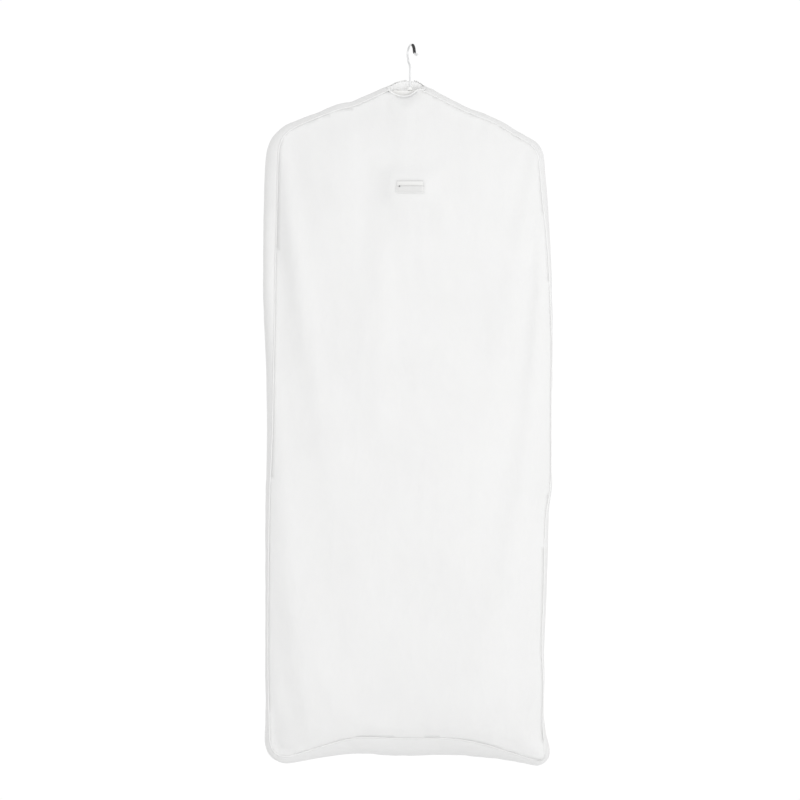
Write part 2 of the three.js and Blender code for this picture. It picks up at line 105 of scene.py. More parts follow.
# Heights between which something sets in, from none at the first to all at the second.
LOW = (-1.40, -1.46)  # the bottom
SHOULDERS = (-0.25, -0.18)
BELOW_SHOULDERS = (-0.22, -0.47)
NECK = (-0.16, -0.11)
OPEN_ZIP = (-0.103, -0.073)  # above the closed teeth

# The front seam, which joins the front to the gusset, in mm: x, z, how far the gusset swells outside it,
# and how much higher the back seam runs. It goes from the neck down the left side and back up the right.
SEAM_LEFT = [
    (-46, -97, 5, 15), (-80, -112, 10, 6), (-124, -132, 13, 2), (-148, -135, 13, 1), (-190, -152, 13, 0),
    (-236, -171, 14, 0), (-261, -185, 17, 0), (-276, -212, 24, 0), (-279, -258, 29, 0), (-282, -400, 31, 0),
    (-284, -530, 29, 0), (-288, -650, 17, 0), (-290, -800, 12, 0), (-297, -970, 11, 0), (-299, -1250, 12, 0),
    (-297, -1430, 14, 0), (-296, -1474, 15, 0), (-288, -1492, 15, -5), (-268, -1499, 14, -10),
    (-240, -1493, 12, -17), (-200, -1479, 10, -31), (-150, -1464, 9, -43), (-105, -1455, 8, -51),
    (-50, -1457, 8, -53), (-9, -1458, 8, -53),
]
SEAM_RIGHT = [
    (9, -1458, 8, -53), (60, -1457, 8, -52), (110, -1461, 8, -48), (165, -1473, 9, -39),
    (215, -1489, 11, -22), (252, -1501, 13, -9), (272, -1508, 14, -4), (284, -1504, 15, -1),
    (286, -1484, 13, 0), (279, -1435, 10, 0), (280, -1330, 8, 0), (276, -1255, 8, 0), (280, -1150, 9, 0),
    (285, -990, 11, 0), (297, -920, 12, 0), (299, -860, 11, 0), (299, -740, 11, 0), (301, -610, 12, 0),
    (291, -440, 15, 0), (279, -330, 14, 0), (273, -255, 13, 0), (270, -229, 13, 0), (259, -213, 13, 0),
    (240, -202, 13, 0), (215, -188, 13, 0), (188, -170, 12, 0), (160, -157, 12, 0), (120, -142, 12, 0),
    (88, -127, 12, 1), (62, -114, 11, 5), (44, -104, 9, 10), (30, -98, 6, 16),
]
# The neck's free edges, in mm: x and z.
FRONT_NECK = [
    (30, -98), (20, -92), (14, -93), (10, -101), (0, -107), (-15, -109), (-30, -106), (-41, -100), (-46, -97)]
BACK_NECK = {"left": [(-9, -69), (-31, -73), (-46, -82)], "right": [(30, -82), (25, -74), (9, -69)]}
ZIP_TOP_Z = BACK_NECK["left"][0][1] * MM

# ---- curves


def ramp(value, start, stop):
    """Rises smoothly from 0 at start to 1 at stop."""
    t = np.clip((value - start) / (stop - start), 0.0, 1.0)
    return t * t * (3 - 2 * t)


def unit(vectors):
    return vectors / np.linalg.norm(vectors, axis=-1, keepdims=True)


def xyz(x, y, z):
    """Points from their three coordinates, each a column or one number."""
    return np.column_stack(np.broadcast_arrays(x, y, z))


def around(count):
    """That many angles, evenly spaced round a circle."""
    return np.arange(count) * 2 * math.pi / count


def lengths(line):
    """The length along a line up to each of its points."""
    return np.concatenate([[0], np.cumsum(np.linalg.norm(np.diff(line, axis=0), axis=1))])


def spaced(line, along, count):
    """That many rows at even distances along a line."""
    at = np.linspace(0, along[-1], count)
    return np.column_stack([np.interp(at, along, column) for column in line.T])


def refine(line, step):
    along = lengths(line)
    return spaced(line, along, max(2, int(along[-1] / step)))


def softened(line, rounds=2):
    line = line.copy()
    for _ in range(rounds):
        line[1:-1] = 0.5 * line[1:-1] + 0.25 * (line[:-2] + line[2:])
    return line


def with_ends(points):
    """The points with one more at each end, in line with the last two."""
    rows = np.array(points, float)
    return np.vstack([2 * rows[0] - rows[1], rows, 2 * rows[-1] - rows[-2]])


def spline(points, step):
    """Points evenly spaced along the Catmull-Rom curve through the given rows."""
    rows = with_ends(points)
    t = np.linspace(0, 1, 24, endpoint=False)[:, None]
    spans = [0.5 * (2 * b + (c - a) * t + (2 * a - 5 * b + 4 * c - d) * t**2 + (3 * b - a - 3 * c + d) * t**3)
             for a, b, c, d in zip(rows, rows[1:], rows[2:], rows[3:])]
    fine = np.vstack([*spans, rows[-2]])
    along = lengths(fine[:, :2])
    return spaced(fine, along, max(2, int(round(along[-1] / step)) + 1))


def centripetal(points, per_span=16):
    """Points along the centripetal Catmull-Rom curve, which the CAD's wire follows."""
    rows = with_ends(points)
    out = []
    for a, b, c, d in zip(rows, rows[1:], rows[2:], rows[3:]):
        t1 = np.linalg.norm(b - a) ** 0.5
        t2 = t1 + np.linalg.norm(c - b) ** 0.5
        t3 = t2 + np.linalg.norm(d - c) ** 0.5
        t = np.linspace(t1, t2, per_span, endpoint=False)[:, None]
        a1 = (t1 - t) / t1 * a + t / t1 * b
        a2 = (t2 - t) / (t2 - t1) * b + (t - t1) / (t2 - t1) * c
        a3 = (t3 - t) / (t3 - t2) * c + (t - t2) / (t3 - t2) * d
        b1 = (t2 - t) / t2 * a1 + t / t2 * a2
        b2 = (t3 - t) / (t3 - t1) * a2 + (t - t1) / (t3 - t1) * a3
        out.append((t2 - t) / (t2 - t1) * b1 + (t - t1) / (t2 - t1) * b2)
    return np.vstack([*out, rows[-2]])


def rectangle(x_low, z_low, x_high, z_high):
    return [(x_low, z_low), (x_high, z_low), (x_high, z_high), (x_low, z_high)]


def mirrored(half, *middle):
    """A whole outline from the rows of its right half and those on the middle line."""
    return [*half, *middle, *((-x, *rest) for x, *rest in reversed(half))]


def rounded(rows, steps, radius=None):
    """A polygon with round corners, from (x, z, radius) rows or from (x, z) rows and one radius."""
    corners = np.array([row[:2] for row in rows], float)
    out = []
    for i, corner in enumerate(corners):
        bend = rows[i][2] if radius is None else radius
        back, on = unit(corners[i - 1] - corner), unit(corners[(i + 1) % len(corners)] - corner)
        half = math.acos(np.clip(back.dot(on), -1, 1)) / 2
        reach = bend / math.tan(half)
        middle = corner + unit(back + on) * bend / math.sin(half)
        start, stop = corner + back * reach - middle, corner + on * reach - middle
        first, last = math.atan2(start[1], start[0]), math.atan2(stop[1], stop[0])
        turn = (last - first + math.pi) % (2 * math.pi) - math.pi
        for angle in first + turn * np.arange(steps + 1) / steps:
            out.append(middle + bend * np.array((math.cos(angle), math.sin(angle))))
    return np.array(out)


# ---- mesh helpers


def link(obj):
    bpy.context.scene.collection.objects.link(obj)
    return obj


@contextmanager
def editing(mesh):
    """A mesh opened for changes, with its faces turned outwards at the end."""
    work = bmesh.new()
    work.from_mesh(mesh)
    yield work
    bmesh.ops.recalc_face_normals(work, faces=work.faces)
    work.to_mesh(mesh)
    work.free()


def read(items, name):
    """The items' vectors of that name, one to a row."""
    values = np.empty(len(items) * 3)
    items.foreach_get(name, values)
    return values.reshape(-1, 3)


def evaluated(obj):
    graph = bpy.context.evaluated_depsgraph_get()
    return bpy.data.meshes.new_from_object(obj.evaluated_get(graph), depsgraph=graph)


def settled(obj):
    """Replaces an object's mesh by what its modifiers make of it."""
    mesh = evaluated(obj)
    mesh.name = obj.name
    obj.modifiers.clear()
    obj.data = mesh
    return obj


def thickened(obj, thickness, offset=0.0):
    solid = obj.modifiers.new("thickness", "SOLIDIFY")
    solid.thickness, solid.offset = thickness, offset
    return settled(obj)


def grid_faces(rows, columns, ring=False, round_again=False):
    """Quads between rows of points. ring closes each row, and round_again joins the last row to the first."""
    faces = []
    for r in range(rows if round_again else rows - 1):
        here, there = r * columns, (r + 1) % rows * columns
        for k in range(columns if ring else columns - 1):
            on = (k + 1) % columns
            faces.append((here + k, here + on, there + on, there + k))
    return faces


def tube_faces(rings, sides):
    """Quads between rings of points, and a cap on the first and the last."""
    last = (rings - 1) * sides
    return grid_faces(rings, sides, ring=True) + [tuple(range(sides))[::-1], tuple(range(last, last + sides))]


def mesh_object(name, points, faces, uv=None):
    """A smooth mesh object; uv holds one pair for each vertex."""
    mesh = bpy.data.meshes.new(name)
    mesh.from_pydata([tuple(p) for p in points], [], [tuple(f) for f in faces])
    mesh.polygons.foreach_set("use_smooth", [True] * len(mesh.polygons))
    if uv is not None:
        corners = np.empty(len(mesh.loops), np.int32)
        mesh.loops.foreach_get("vertex_index", corners)
        mesh.uv_layers.new(name="cloth").data.foreach_set("uv", np.asarray(uv, float)[corners].ravel())
    return link(bpy.data.objects.new(name, mesh))


def closed_object(name, points, faces, uv=None):
    obj = mesh_object(name, points, faces, uv)
    with editing(obj.data):
        pass  # its faces are turned outwards
    return obj


CAP_TURNS = (0.35, 0.75, 1.1, 1.45)  # radians from a bar's side towards its tip


def sweep(name, line, width, thickness=None, sides=12, ends=True, up=None):
    """A round or flattened bar along a line of points. ends rounds it off at both ends."""
    line = np.asarray(line, float)
    thickness = width if thickness is None else thickness
    width, thickness = (np.broadcast_to(np.asarray(v, float), len(line)) for v in (width, thickness))
    tangents = np.roll(line, -1, axis=0) - np.roll(line, 1, axis=0)
    tangents[0], tangents[-1] = line[1] - line[0], line[-1] - line[-2]
    tangents = unit(tangents)
    if up is None:
        up = (0.0, 1.0, 0.0) if abs(tangents[0][1]) < 0.9 else (1.0, 0.0, 0.0)
    across = [np.array(up, float)]
    for tangent in tangents:
        across.append(unit(across[-1] - tangent * across[-1].dot(tangent)))
    rings = [(*ring, 1.0) for ring in zip(line, tangents, across[1:], lengths(line), width, thickness)]

    def cap(ring, way):
        """Shrinking rings beyond the first or last one."""
        point, tangent, *rest, _ = ring
        reach = way * ring[4] / 2
        return [(point + tangent * reach * math.sin(t), tangent, *rest, math.cos(t)) for t in CAP_TURNS]

    if ends:
        rings = cap(rings[0], -1)[::-1] + rings + cap(rings[-1], 1)
    points, uv = [], []
    for point, tangent, side, along, wide, thick, size in rings:
        other = np.cross(tangent, side)
        for k, angle in enumerate(around(sides)):
            off = side * math.cos(angle) * wide + other * math.sin(angle) * thick
            points.append(point + size * off / 2)
            uv.append((along, k / sides * math.pi * (wide + thick) / 2))
    return closed_object(name, points, tube_faces(len(rings), sides), uv)


# A bead's rings: place along it, size, and whether the ring is in the end that may be swollen.
BEAD_RINGS = (
    (-0.5, 0.35, False), (-0.36, 0.9, False), (0.12, 1.0, False), (0.34, 0.95, True), (0.5, 0.4, True))
BEAD_SIDES = 6


def beads(name, centres, tangents, normals, length, width, height, swell=1.0):
    """Many short rounded bars in one mesh: stitches or zip teeth. swell widens one end."""
    centres = np.asarray(centres, float)
    tangents, normals = (np.broadcast_to(np.asarray(v, float), centres.shape) for v in (tangents, normals))
    tangents = unit(tangents)
    normals = unit(normals - tangents * (normals * tangents).sum(axis=1)[:, None])
    across = np.cross(tangents, normals)
    bead = []
    for at, size, swollen in BEAD_RINGS:
        for angle in around(BEAD_SIDES):
            wide = size * width / 2 * (swell if swollen else 1.0)
            bead.append((at * length, wide * math.cos(angle), size * height / 2 * math.sin(angle)))
    bead = np.array(bead)
    points = (centres[:, None] + tangents[:, None] * bead[:, :1] + across[:, None] * bead[:, 1:2]
              + normals[:, None] * bead[:, 2:]).reshape(-1, 3)
    one = tube_faces(len(BEAD_RINGS), BEAD_SIDES)
    faces = [tuple(i + n * len(bead) for i in face) for n in range(len(centres)) for face in one]
    return mesh_object(name, points, faces, points[:, [0, 2]])


def plate(name, outlines, y_low, y_high, bevel=0.0, steps=2):
    """A bevelled plate whose outlines, holes after the first, lie in the XZ plane."""
    curve = bpy.data.curves.new(name, "CURVE")
    curve.dimensions, curve.fill_mode = "2D", "BOTH"
    curve.extrude = (y_high - y_low) / 2 - bevel
    curve.bevel_depth, curve.bevel_resolution, curve.offset = bevel, steps, -bevel
    for outline in outlines:
        ring = curve.splines.new("POLY")
        ring.points.add(len(outline) - 1)
        ring.points.foreach_set("co", np.array([(x, z, 0, 1) for x, z in outline]).ravel())
        ring.use_cyclic_u = True
    holder = link(bpy.data.objects.new(name + "_outline", curve))
    mesh = evaluated(holder)
    bpy.data.objects.remove(holder)
    with editing(mesh) as work:
        bmesh.ops.remove_doubles(work, verts=work.verts, dist=1e-6)
        for vertex in work.verts:
            x, z, depth = vertex.co
            vertex.co = (x, (y_low + y_high) / 2 + depth, z)
    mesh.name = name
    mesh.polygons.foreach_set("use_smooth", [True] * len(mesh.polygons))
    mesh.set_sharp_from_angle(angle=math.radians(40))
    return link(bpy.data.objects.new(name, mesh))


def lathe(name, profile, sides=48):
    """Turns a closed profile of (radius, z) about the Z axis."""
    points = [(r * math.cos(a), r * math.sin(a), z) for a in around(sides) for r, z in profile]
    obj = closed_object(name, points, grid_faces(sides, len(profile), ring=True, round_again=True))
    obj.data.set_sharp_from_angle(angle=math.radians(35))
    return obj


def joined(name, *parts):
    work = bmesh.new()
    for part in parts:
        work.from_mesh(part.data)
        bpy.data.objects.remove(part)
    mesh = bpy.data.meshes.new(name)
    work.to_mesh(mesh)
    work.free()
    mesh.set_sharp_from_angle(angle=math.radians(40))
    return link(bpy.data.objects.new(name, mesh))


def finish(obj, material, slot, *nodes, body="bag"):
    """Gives a piece its material and body, and hides the CAD nodes that it replaces. slot is not used."""
    obj.data.materials.clear()
    obj.data.materials.append(material)
    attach(obj, body)
    if nodes:
        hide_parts(*nodes)
    return obj


# ---- the shell before it hangs


def half_chord(arc, sagitta):
    """Half the straight width of a strip of the given arc width that swells by the sagitta."""
    low, high = sagitta + 1e-6, arc / 2
    for _ in range(40):
        middle = (low + high) / 2
        radius = (middle**2 + sagitta**2) / (2 * sagitta)
        length = 2 * radius * math.asin(min(1.0, middle / radius))
        low, high = (middle, high) if length < arc else (low, middle)
    return middle


def outward(path):
    """Unit normals of the seam path in the XZ plane, pointing out of the bag."""
    tangent = unit(np.gradient(path, axis=0))
    return np.column_stack([tangent[:, 1], -tangent[:, 0]])


def nearest(points, border):
    gaps = np.linalg.norm(points[:, None, :] - border[None, :, :], axis=2)
    return gaps.min(axis=1), gaps.argmin(axis=1)


def fill(border):
    """Triangles of a flat outline with a square lattice of points inside it.

    Gives the points, the row of the border that each comes from (past its end for the lattice) and the faces.
    """
    first, last = np.ceil(border.min(axis=0) / CLOTH_STEP), np.floor(border.max(axis=0) / CLOTH_STEP)
    xs, zs = (np.arange(low, high + 1) * CLOTH_STEP for low, high in zip(first, last))
    lattice = np.array([(x, z) for z in zs for x in xs])
    onward = np.roll(border, -1, axis=0)
    dense = np.vstack([np.linspace(a, b, 4, endpoint=False) for a, b in zip(border, onward)])
    lattice = lattice[nearest(lattice, dense)[0] > 0.6 * CLOTH_STEP]
    vectors = [Vector(p) for p in np.vstack([border, lattice])]
    points, _, faces, sources, *_ = geometry.delaunay_2d_cdt(vectors, [], [list(range(len(border)))], 1, 1e-6)
    kept = sorted({i for face in faces for i in face})
    order = {k: n for n, k in enumerate(kept)}
    source = [min(sources[k]) for k in kept]
    faces = [tuple(order[i] for i in face) for face in faces]
    return np.array([tuple(points[k]) for k in kept]), source, faces


def zip_lean(z, y):
    """The depth of the zip's line at height z: above the closed teeth it leans in to the hook."""
    return y + (ZIP_TOP_DEPTH - y) * ramp(z, *OPEN_ZIP)


def relief(x, z):
    """The soft ridge and hollows of the front, as a first depth that the hanging cloth keeps."""

    def mound(middle, wide_left, wide_right, low, high, fade):
        inside = ramp(z, low - fade / 2, low + fade / 2) * ramp(z, high + fade / 2, high - fade / 2)
        return np.exp(-((x - middle) / np.where(x < middle, wide_left, wide_right)) ** 2) * inside

    return (
        0.012 * mound(-0.066 + 0.03 * (z + 0.6), 0.085, 0.036, -0.82, -0.42, 0.10)
        - 0.004 * mound(-0.095, 0.022, 0.022, -0.50, -0.22, 0.10)
        - 0.005 * mound(0.012, 0.024, 0.024, -0.50, -0.34, 0.10)
        + 0.006 * mound(0.062, 0.020, 0.024, -0.39, -0.25, 0.05)
        + 0.014 * mound(0.105 + 0.06 * (z + 0.95), 0.11, 0.13, -1.22, -0.66, 0.16)
        - 0.004 * mound(-0.150, 0.060, 0.060, -1.40, -1.00, 0.20)
        - 0.018 * ramp(x, -0.195, -0.285) * ramp(z, -1.36, -1.47)
    )


class Shell:
    """The sewn cloth shell before it is split: vertices, pins, faces and the panel that each face is in.

    front and back are the two seams, as x and z, and depth is how far each stands from the middle plane.
    strip holds the gusset's vertices on its flat strip, and rims the rows of vertices along the edges.
    A side is -1 for the front and 1 for the back.
    """

    PANELS = ("front_panel", "back_panel_left", "back_panel_right", "gusset")

    def __init__(self):
        self.points, self.pins, self.faces, self.panel = [], [], [], []
        self.strip, self.rims = {}, {}
        left, right = (spline(rows, CLOTH_STEP / MM) * MM for rows in (SEAM_LEFT, SEAM_RIGHT))
        self.zip_row = len(left) - 1  # the seam's last row on the zip's left
        x, height, self.swell, self.climb = np.vstack([left, right]).T
        self.front = np.column_stack([x, height])
        self.back = np.column_stack([x, height + self.climb])
        self.out = outward(self.front)
        self.along = lengths(self.front)
        self.half = np.array([half_chord(GUSSET_WIDTH, max(swell, LEAST_SWELL)) for swell in self.swell])
        share = FRONT_SHARE + (LOW_FRONT_SHARE - FRONT_SHARE) * ramp(height, *LOW)
        share += (TOP_FRONT_SHARE - FRONT_SHARE) * ramp(height, *SHOULDERS)
        pinch = ramp(np.minimum(self.along, self.along[-1] - self.along), PINCH_LENGTH, 0)
        full = np.minimum(self.half, BACK_Y - 2 * MM)
        deep = {-1: full * share, 1: full}
        self.depth = {side: deep[side] + (NECK_HALF_DEPTH - deep[side]) * pinch for side in deep}
        self.add_gusset()
        self.add_front()
        self.add_back()

    def add(self, points, pin):
        first = len(self.points)
        self.points.extend(np.asarray(points, float))
        self.pins.extend(np.broadcast_to(pin, len(points)))
        return list(range(first, first + len(points)))

    def add_faces(self, faces, panel):
        self.faces.extend(faces)
        self.panel.extend([self.PANELS.index(panel)] * len(faces))

    def add_gusset(self):
        """The strip between the seams. Across its width it swells outwards in an arc."""
        firm, slack = SEAM_PIN
        loose = ramp(self.front[:, 1], *BELOW_SHOULDERS)
        radius = (self.half**2 + self.swell**2) / (2 * np.maximum(self.swell, LEAST_SWELL))
        grid = []
        for share in np.linspace(-1, 1, GUSSET_ROWS):
            turn = np.arcsin(np.minimum(1, self.half / radius)) * share
            rise = radius * np.cos(turn) - (radius - self.swell)
            across = radius * np.sin(turn) / self.half
            x, z = (self.front + self.out * rise[:, None]).T
            depth = np.where(across < 0, self.depth[-1], self.depth[1]) * across
            pin = (firm - (firm - slack) * loose) * (1 - LOOSE_GUSSET * ramp(abs(share), 1, 0.75) * loose)
            row = self.add(xyz(x, depth, z + self.climb * (across + 1) / 2), pin)
            self.strip.update({v: (share * GUSSET_WIDTH / 2, a) for v, a in zip(row, self.along)})
            grid.append(row)
        self.add_faces(grid_faces(GUSSET_ROWS, len(self.front)), "gusset")
        self.rims.update(front_seam=grid[0], back_seam=grid[-1])
        self.rims.update(neck_end_left=[row[0] for row in grid], neck_end_right=[row[-1] for row in grid])

    def add_panel(self, name, side, seam_rows, edge, edge_ids, neck, neck_depth):
        """Fills one outline, made of a stretch of seam and free edges, and lifts the filling to its depth."""
        seam = self.front if side < 0 else self.back
        seam_ids = self.rims["front_seam" if side < 0 else "back_seam"]
        ids = [seam_ids[row] for row in seam_rows] + edge_ids
        flat, source, faces = fill(np.vstack([seam[seam_rows], edge]))
        inside = [k for k, row in enumerate(source) if row >= len(ids)]
        x, z = flat[inside].T
        gap, row = nearest(flat[inside], seam)
        base = self.depth[side][row]
        early = ROLL[0] if side < 0 else 0.0
        late = np.sin(np.minimum(gap / SWELL_WIDTH, 1) * math.pi / 2)
        rise = early * (1 - np.exp(-gap / ROLL[1])) + (1 - early) * late
        depth = base + (side * (FRONT_Y if side < 0 else BACK_Y) - base) * rise
        gap, row = nearest(flat[inside], neck)
        depth -= (self.depth[1][0] - neck_depth[row]) * ramp(gap, BLEND_WIDTH, 0)
        pin = PANEL_PIN[0] + (PANEL_PIN[1] - PANEL_PIN[0]) * ramp(z, *NECK)
        if side < 0:
            depth += relief(x, z)
            pin = np.where((np.abs(x) < LABEL_X) & (z < LABEL_TOP) & (z > LABEL_BOTTOM), LABEL_PIN, pin)
        else:
            depth += (zip_lean(z, BACK_Y) - depth) * ramp(np.abs(x), ZIP_EDGE_X + BLEND_WIDTH, ZIP_EDGE_X)
            pin = np.maximum(pin, ZIP_PIN * (np.abs(x) < 0.03))
        vertex = dict(zip(inside, self.add(xyz(x, side * depth, z), pin)))
        vertex.update({k: ids[row] for k, row in enumerate(source) if k not in vertex})
        self.add_faces([tuple(vertex[k] for k in face) for face in faces], name)

    def add_neck_edge(self, rim, points, side):
        """A free edge of the neck: it leans in towards the hook between the ends of the gusset."""
        rows = spline(points, CLOTH_STEP / MM * 0.7)[1:-1] * MM
        across = np.clip((rows[:, 0] - NECK_LEFT) / (NECK_RIGHT - NECK_LEFT), 0, 1)
        depth = self.depth[1][0] - NECK_LEAN * np.sin(math.pi * across)
        self.rims[rim] = self.add(xyz(rows[:, 0], side * depth, rows[:, 1]), 1.0)
        return rows, depth

    def add_zip_edge(self, tag, x):
        """A back panel's pinned edge beside the zip, from the neck down to the bottom seam."""
        bottom = self.back[self.zip_row, 1]
        z = np.linspace(ZIP_TOP_Z, bottom, int(round((ZIP_TOP_Z - bottom) / CLOTH_STEP)) + 1)[:-1]
        y = zip_lean(z, BACK_Y)
        y = y + (self.depth[1][self.zip_row] - y) * ramp(z, bottom + 0.03, bottom)
        points = xyz(x, y, z)
        self.rims[f"zip_{tag}"] = self.add(points, 1.0)
        return points[:, [0, 2]]

    def add_front(self):
        neck, neck_depth = self.add_neck_edge("front_neck", FRONT_NECK, -1)
        rows = list(range(len(self.front)))
        self.add_panel("front_panel", -1, rows, neck, self.rims["front_neck"], neck, neck_depth)

    def add_back(self):
        """The two halves of the back, parted by the zip."""
        zips = {tag: self.add_zip_edge(tag, side * ZIP_EDGE_X) for tag, side in SIDES}
        necks = {tag: self.add_neck_edge(f"back_neck_{tag}", BACK_NECK[tag], 1) for tag, _ in SIDES}
        neck, neck_depth = (np.concatenate(parts) for parts in zip(necks["left"], necks["right"]))
        ids = self.rims
        self.add_panel("back_panel_left", 1, list(range(self.zip_row + 1)),
                       np.vstack([zips["left"][::-1], necks["left"][0]]),
                       ids["zip_left"][::-1] + ids["back_neck_left"], neck, neck_depth)
        self.add_panel("back_panel_right", 1, list(range(self.zip_row + 1, len(self.back))),
                       np.vstack([necks["right"][0], zips["right"]]),
                       ids["back_neck_right"] + ids["zip_right"], neck, neck_depth)

    def made(self, name):
        """The shell as an object, with the panel's number as each face's material index."""
        mesh = bpy.data.meshes.new(name)
        mesh.from_pydata([tuple(p) for p in self.points], [], self.faces)
        mesh.polygons.foreach_set("material_index", np.array(self.panel, np.int32))
        for _ in self.PANELS:
            mesh.materials.append(None)
        with editing(mesh) as work:
            triangles = [face for face in work.faces if len(face.verts) == 3]
            bmesh.ops.join_triangles(work, faces=triangles, cmp_materials=True,
                                     angle_face_threshold=0.7, angle_shape_threshold=0.9)
        return link(bpy.data.objects.new(name, mesh))


CLOTH_SETTINGS = {
    "quality": 6, "mass": 0.25, "tension_stiffness": 12, "compression_stiffness": 12, "shear_stiffness": 3,
    "bending_stiffness": 0.6, "tension_damping": 8, "compression_damping": 8, "shear_damping": 8,
    "bending_damping": 1.0, "air_damping": 3, "vertex_group_mass": "pin", "pin_stiffness": 1.0,
    "shrink_min": -0.018, "use_pressure": True, "uniform_pressure_force": 0.2,
}


def simulate(obj, pins, frames):
    """Lets the shell hang. Its cloth is a little larger than its outline, so it falls into folds."""
    group = obj.vertex_groups.new(name="pin")
    for index, weight in enumerate(pins):
        group.add([index], float(weight), "REPLACE")
    for vertex in obj.data.vertices:
        x, y, z = vertex.co
        wobble = noise.noise(Vector((x * 14, y * 14 + 5, z * 5))) * WOBBLE
        vertex.co.y += wobble * (1 - pins[vertex.index])
    cloth = obj.modifiers.new("Cloth", "CLOTH")
    for name, value in CLOTH_SETTINGS.items():
        setattr(cloth.settings, name, value)
    cloth.collision_settings.use_collision = False
    scene = bpy.context.scene
    cloth.point_cache.frame_start, cloth.point_cache.frame_end = 1, frames
    for step in range(1, frames + 1):
        scene.frame_set(step)
    bpy.context.view_layer.objects.active = obj
    obj.select_set(True)
    bpy.ops.object.modifier_apply(modifier="Cloth")
    scene.frame_set(1)
    obj.vertex_groups.clear()


# ---- materials


class Nodes:
    """Short ways to add nodes to a tree."""

    def __init__(self, tree):
        self.tree = tree

    def add(self, kind, **settings):
        node = self.tree.nodes.new(kind)
        for key, value in settings.items():
            setattr(node, key, value)
        return node

    def put(self, value, socket):
        if isinstance(value, bpy.types.NodeSocket):
            self.tree.links.new(value, socket)
        else:
            socket.default_value = value

    def math(self, operation, *values):
        node = self.add("ShaderNodeMath", operation=operation)
        for value, socket in zip(values, node.inputs):
            self.put(value, socket)
        return node.outputs[0]

    def total(self, *terms):
        """The weighted sum of (value, weight) pairs."""
        result = None
        for value, weight in terms:
            term = self.math("MULTIPLY", value, weight)
            result = term if result is None else self.math("ADD", result, term)
        return result


class Look(Nodes):
    """A material made round one Principled shader."""

    def __init__(self, name, color, roughness, **sockets):
        self.material = bpy.data.materials.new(name)
        self.material.use_nodes = True
        super().__init__(self.material.node_tree)
        self.inputs = self.tree.nodes["Principled BSDF"].inputs
        self.inputs["Base Color"].default_value = (*color, 1)
        self.inputs["Roughness"].default_value = roughness
        for key, value in sockets.items():
            self.inputs[key.replace("_", " ").title().replace("Ior", "IOR")].default_value = value

    def place(self, scale=(1, 1, 1), uv=True):
        if uv:
            source = self.add("ShaderNodeUVMap", uv_map="cloth").outputs[0]
        else:
            source = self.add("ShaderNodeTexCoord").outputs["Object"]
        mapping = self.add("ShaderNodeMapping")
        mapping.inputs["Scale"].default_value = scale
        self.put(source, mapping.inputs["Vector"])
        return mapping.outputs[0]

    def axes(self, scale=(1, 1, 1), uv=True):
        node = self.add("ShaderNodeSeparateXYZ")
        self.put(self.place(scale, uv), node.inputs[0])
        return node.outputs

    def noise(self, scale, detail=2.0, stretch=(1, 1, 1), uv=False):
        node = self.add("ShaderNodeTexNoise")
        self.put(self.place(stretch, uv), node.inputs["Vector"])
        for key, value in (("Scale", scale), ("Detail", detail), ("Roughness", 0.5)):
            node.inputs[key].default_value = value
        return node.outputs["Fac"]

    def weave(self, pitch):
        across, along, _ = self.axes((math.pi / pitch,) * 3)
        return self.math("MULTIPLY", self.math("SINE", across), self.math("SINE", along))

    def bump(self, height, distance, strength):
        node = self.add("ShaderNodeBump")
        node.inputs["Distance"].default_value = distance
        node.inputs["Strength"].default_value = strength
        self.put(height, node.inputs["Height"])
        self.put(node.outputs[0], self.inputs["Normal"])

    def tint(self, factor, dark, light, low=0.3, high=0.7):
        node = self.add("ShaderNodeValToRGB")
        for stop, position, color in zip(node.color_ramp.elements, (low, high), (dark, light)):
            stop.position, stop.color = position, (*color, 1)
        self.put(factor, node.inputs[0])
        self.put(node.outputs[0], self.inputs["Base Color"])

    def vary_roughness(self, factor, low, high):
        node = self.add("ShaderNodeMapRange")
        self.put(factor, node.inputs["Value"])
        node.inputs["To Min"].default_value, node.inputs["To Max"].default_value = low, high
        self.put(node.outputs[0], self.inputs["Roughness"])


def woven(name, dark, light, pitch, roughness, crumple=1.0):
    """Woven cloth with a little mottle, and painted shade that darkens the hollows of its small wrinkles.
    pitch is the spacing of its threads.
    """
    look = Look(name, light, roughness, sheen_weight=0.12, sheen_roughness=0.45, specular_ior_level=0.25)
    weave = look.weave(pitch)
    slub = look.noise(1.0, 2.0, (900, 45, 1), uv=True)
    rumple = look.noise(34, 3.0, (1, 1, 0.6))
    crease = look.math("ABSOLUTE", look.math("SUBTRACT", look.noise(22, 2.0, (1, 1, 0.5)), 0.5))
    height = look.total((weave, 0.10), (slub, 0.12), (rumple, 1.1 * crumple), (crease, 1.4 * crumple))
    look.bump(height, 0.0012, 0.75)
    mottle = look.noise(7, 4.0)
    # The colour also follows rumple, the small wrinkles' height: painted shade, darker in their hollows and
    # lighter on their ridges.
    look.tint(look.total((mottle, 0.65), (slub, 0.2), (weave, 0.06), (rumple, 0.15)), dark, light)
    look.vary_roughness(mottle, roughness - 0.05, roughness + 0.07)
    return look.material


def plain(name, dark, light, roughness, bump, scale, **sockets):
    """An even material with a fine grain and soft smears in its colour and gloss."""
    look = Look(name, light, roughness, **sockets)
    grain = look.noise(scale, 4.0)
    smear = look.noise(scale / 7, 3.0)
    look.tint(look.total((grain, 0.35), (smear, 0.65)), dark, light)
    look.vary_roughness(smear, roughness - 0.06, roughness + 0.08)
    look.bump(grain, bump, 0.5)
    return look.material


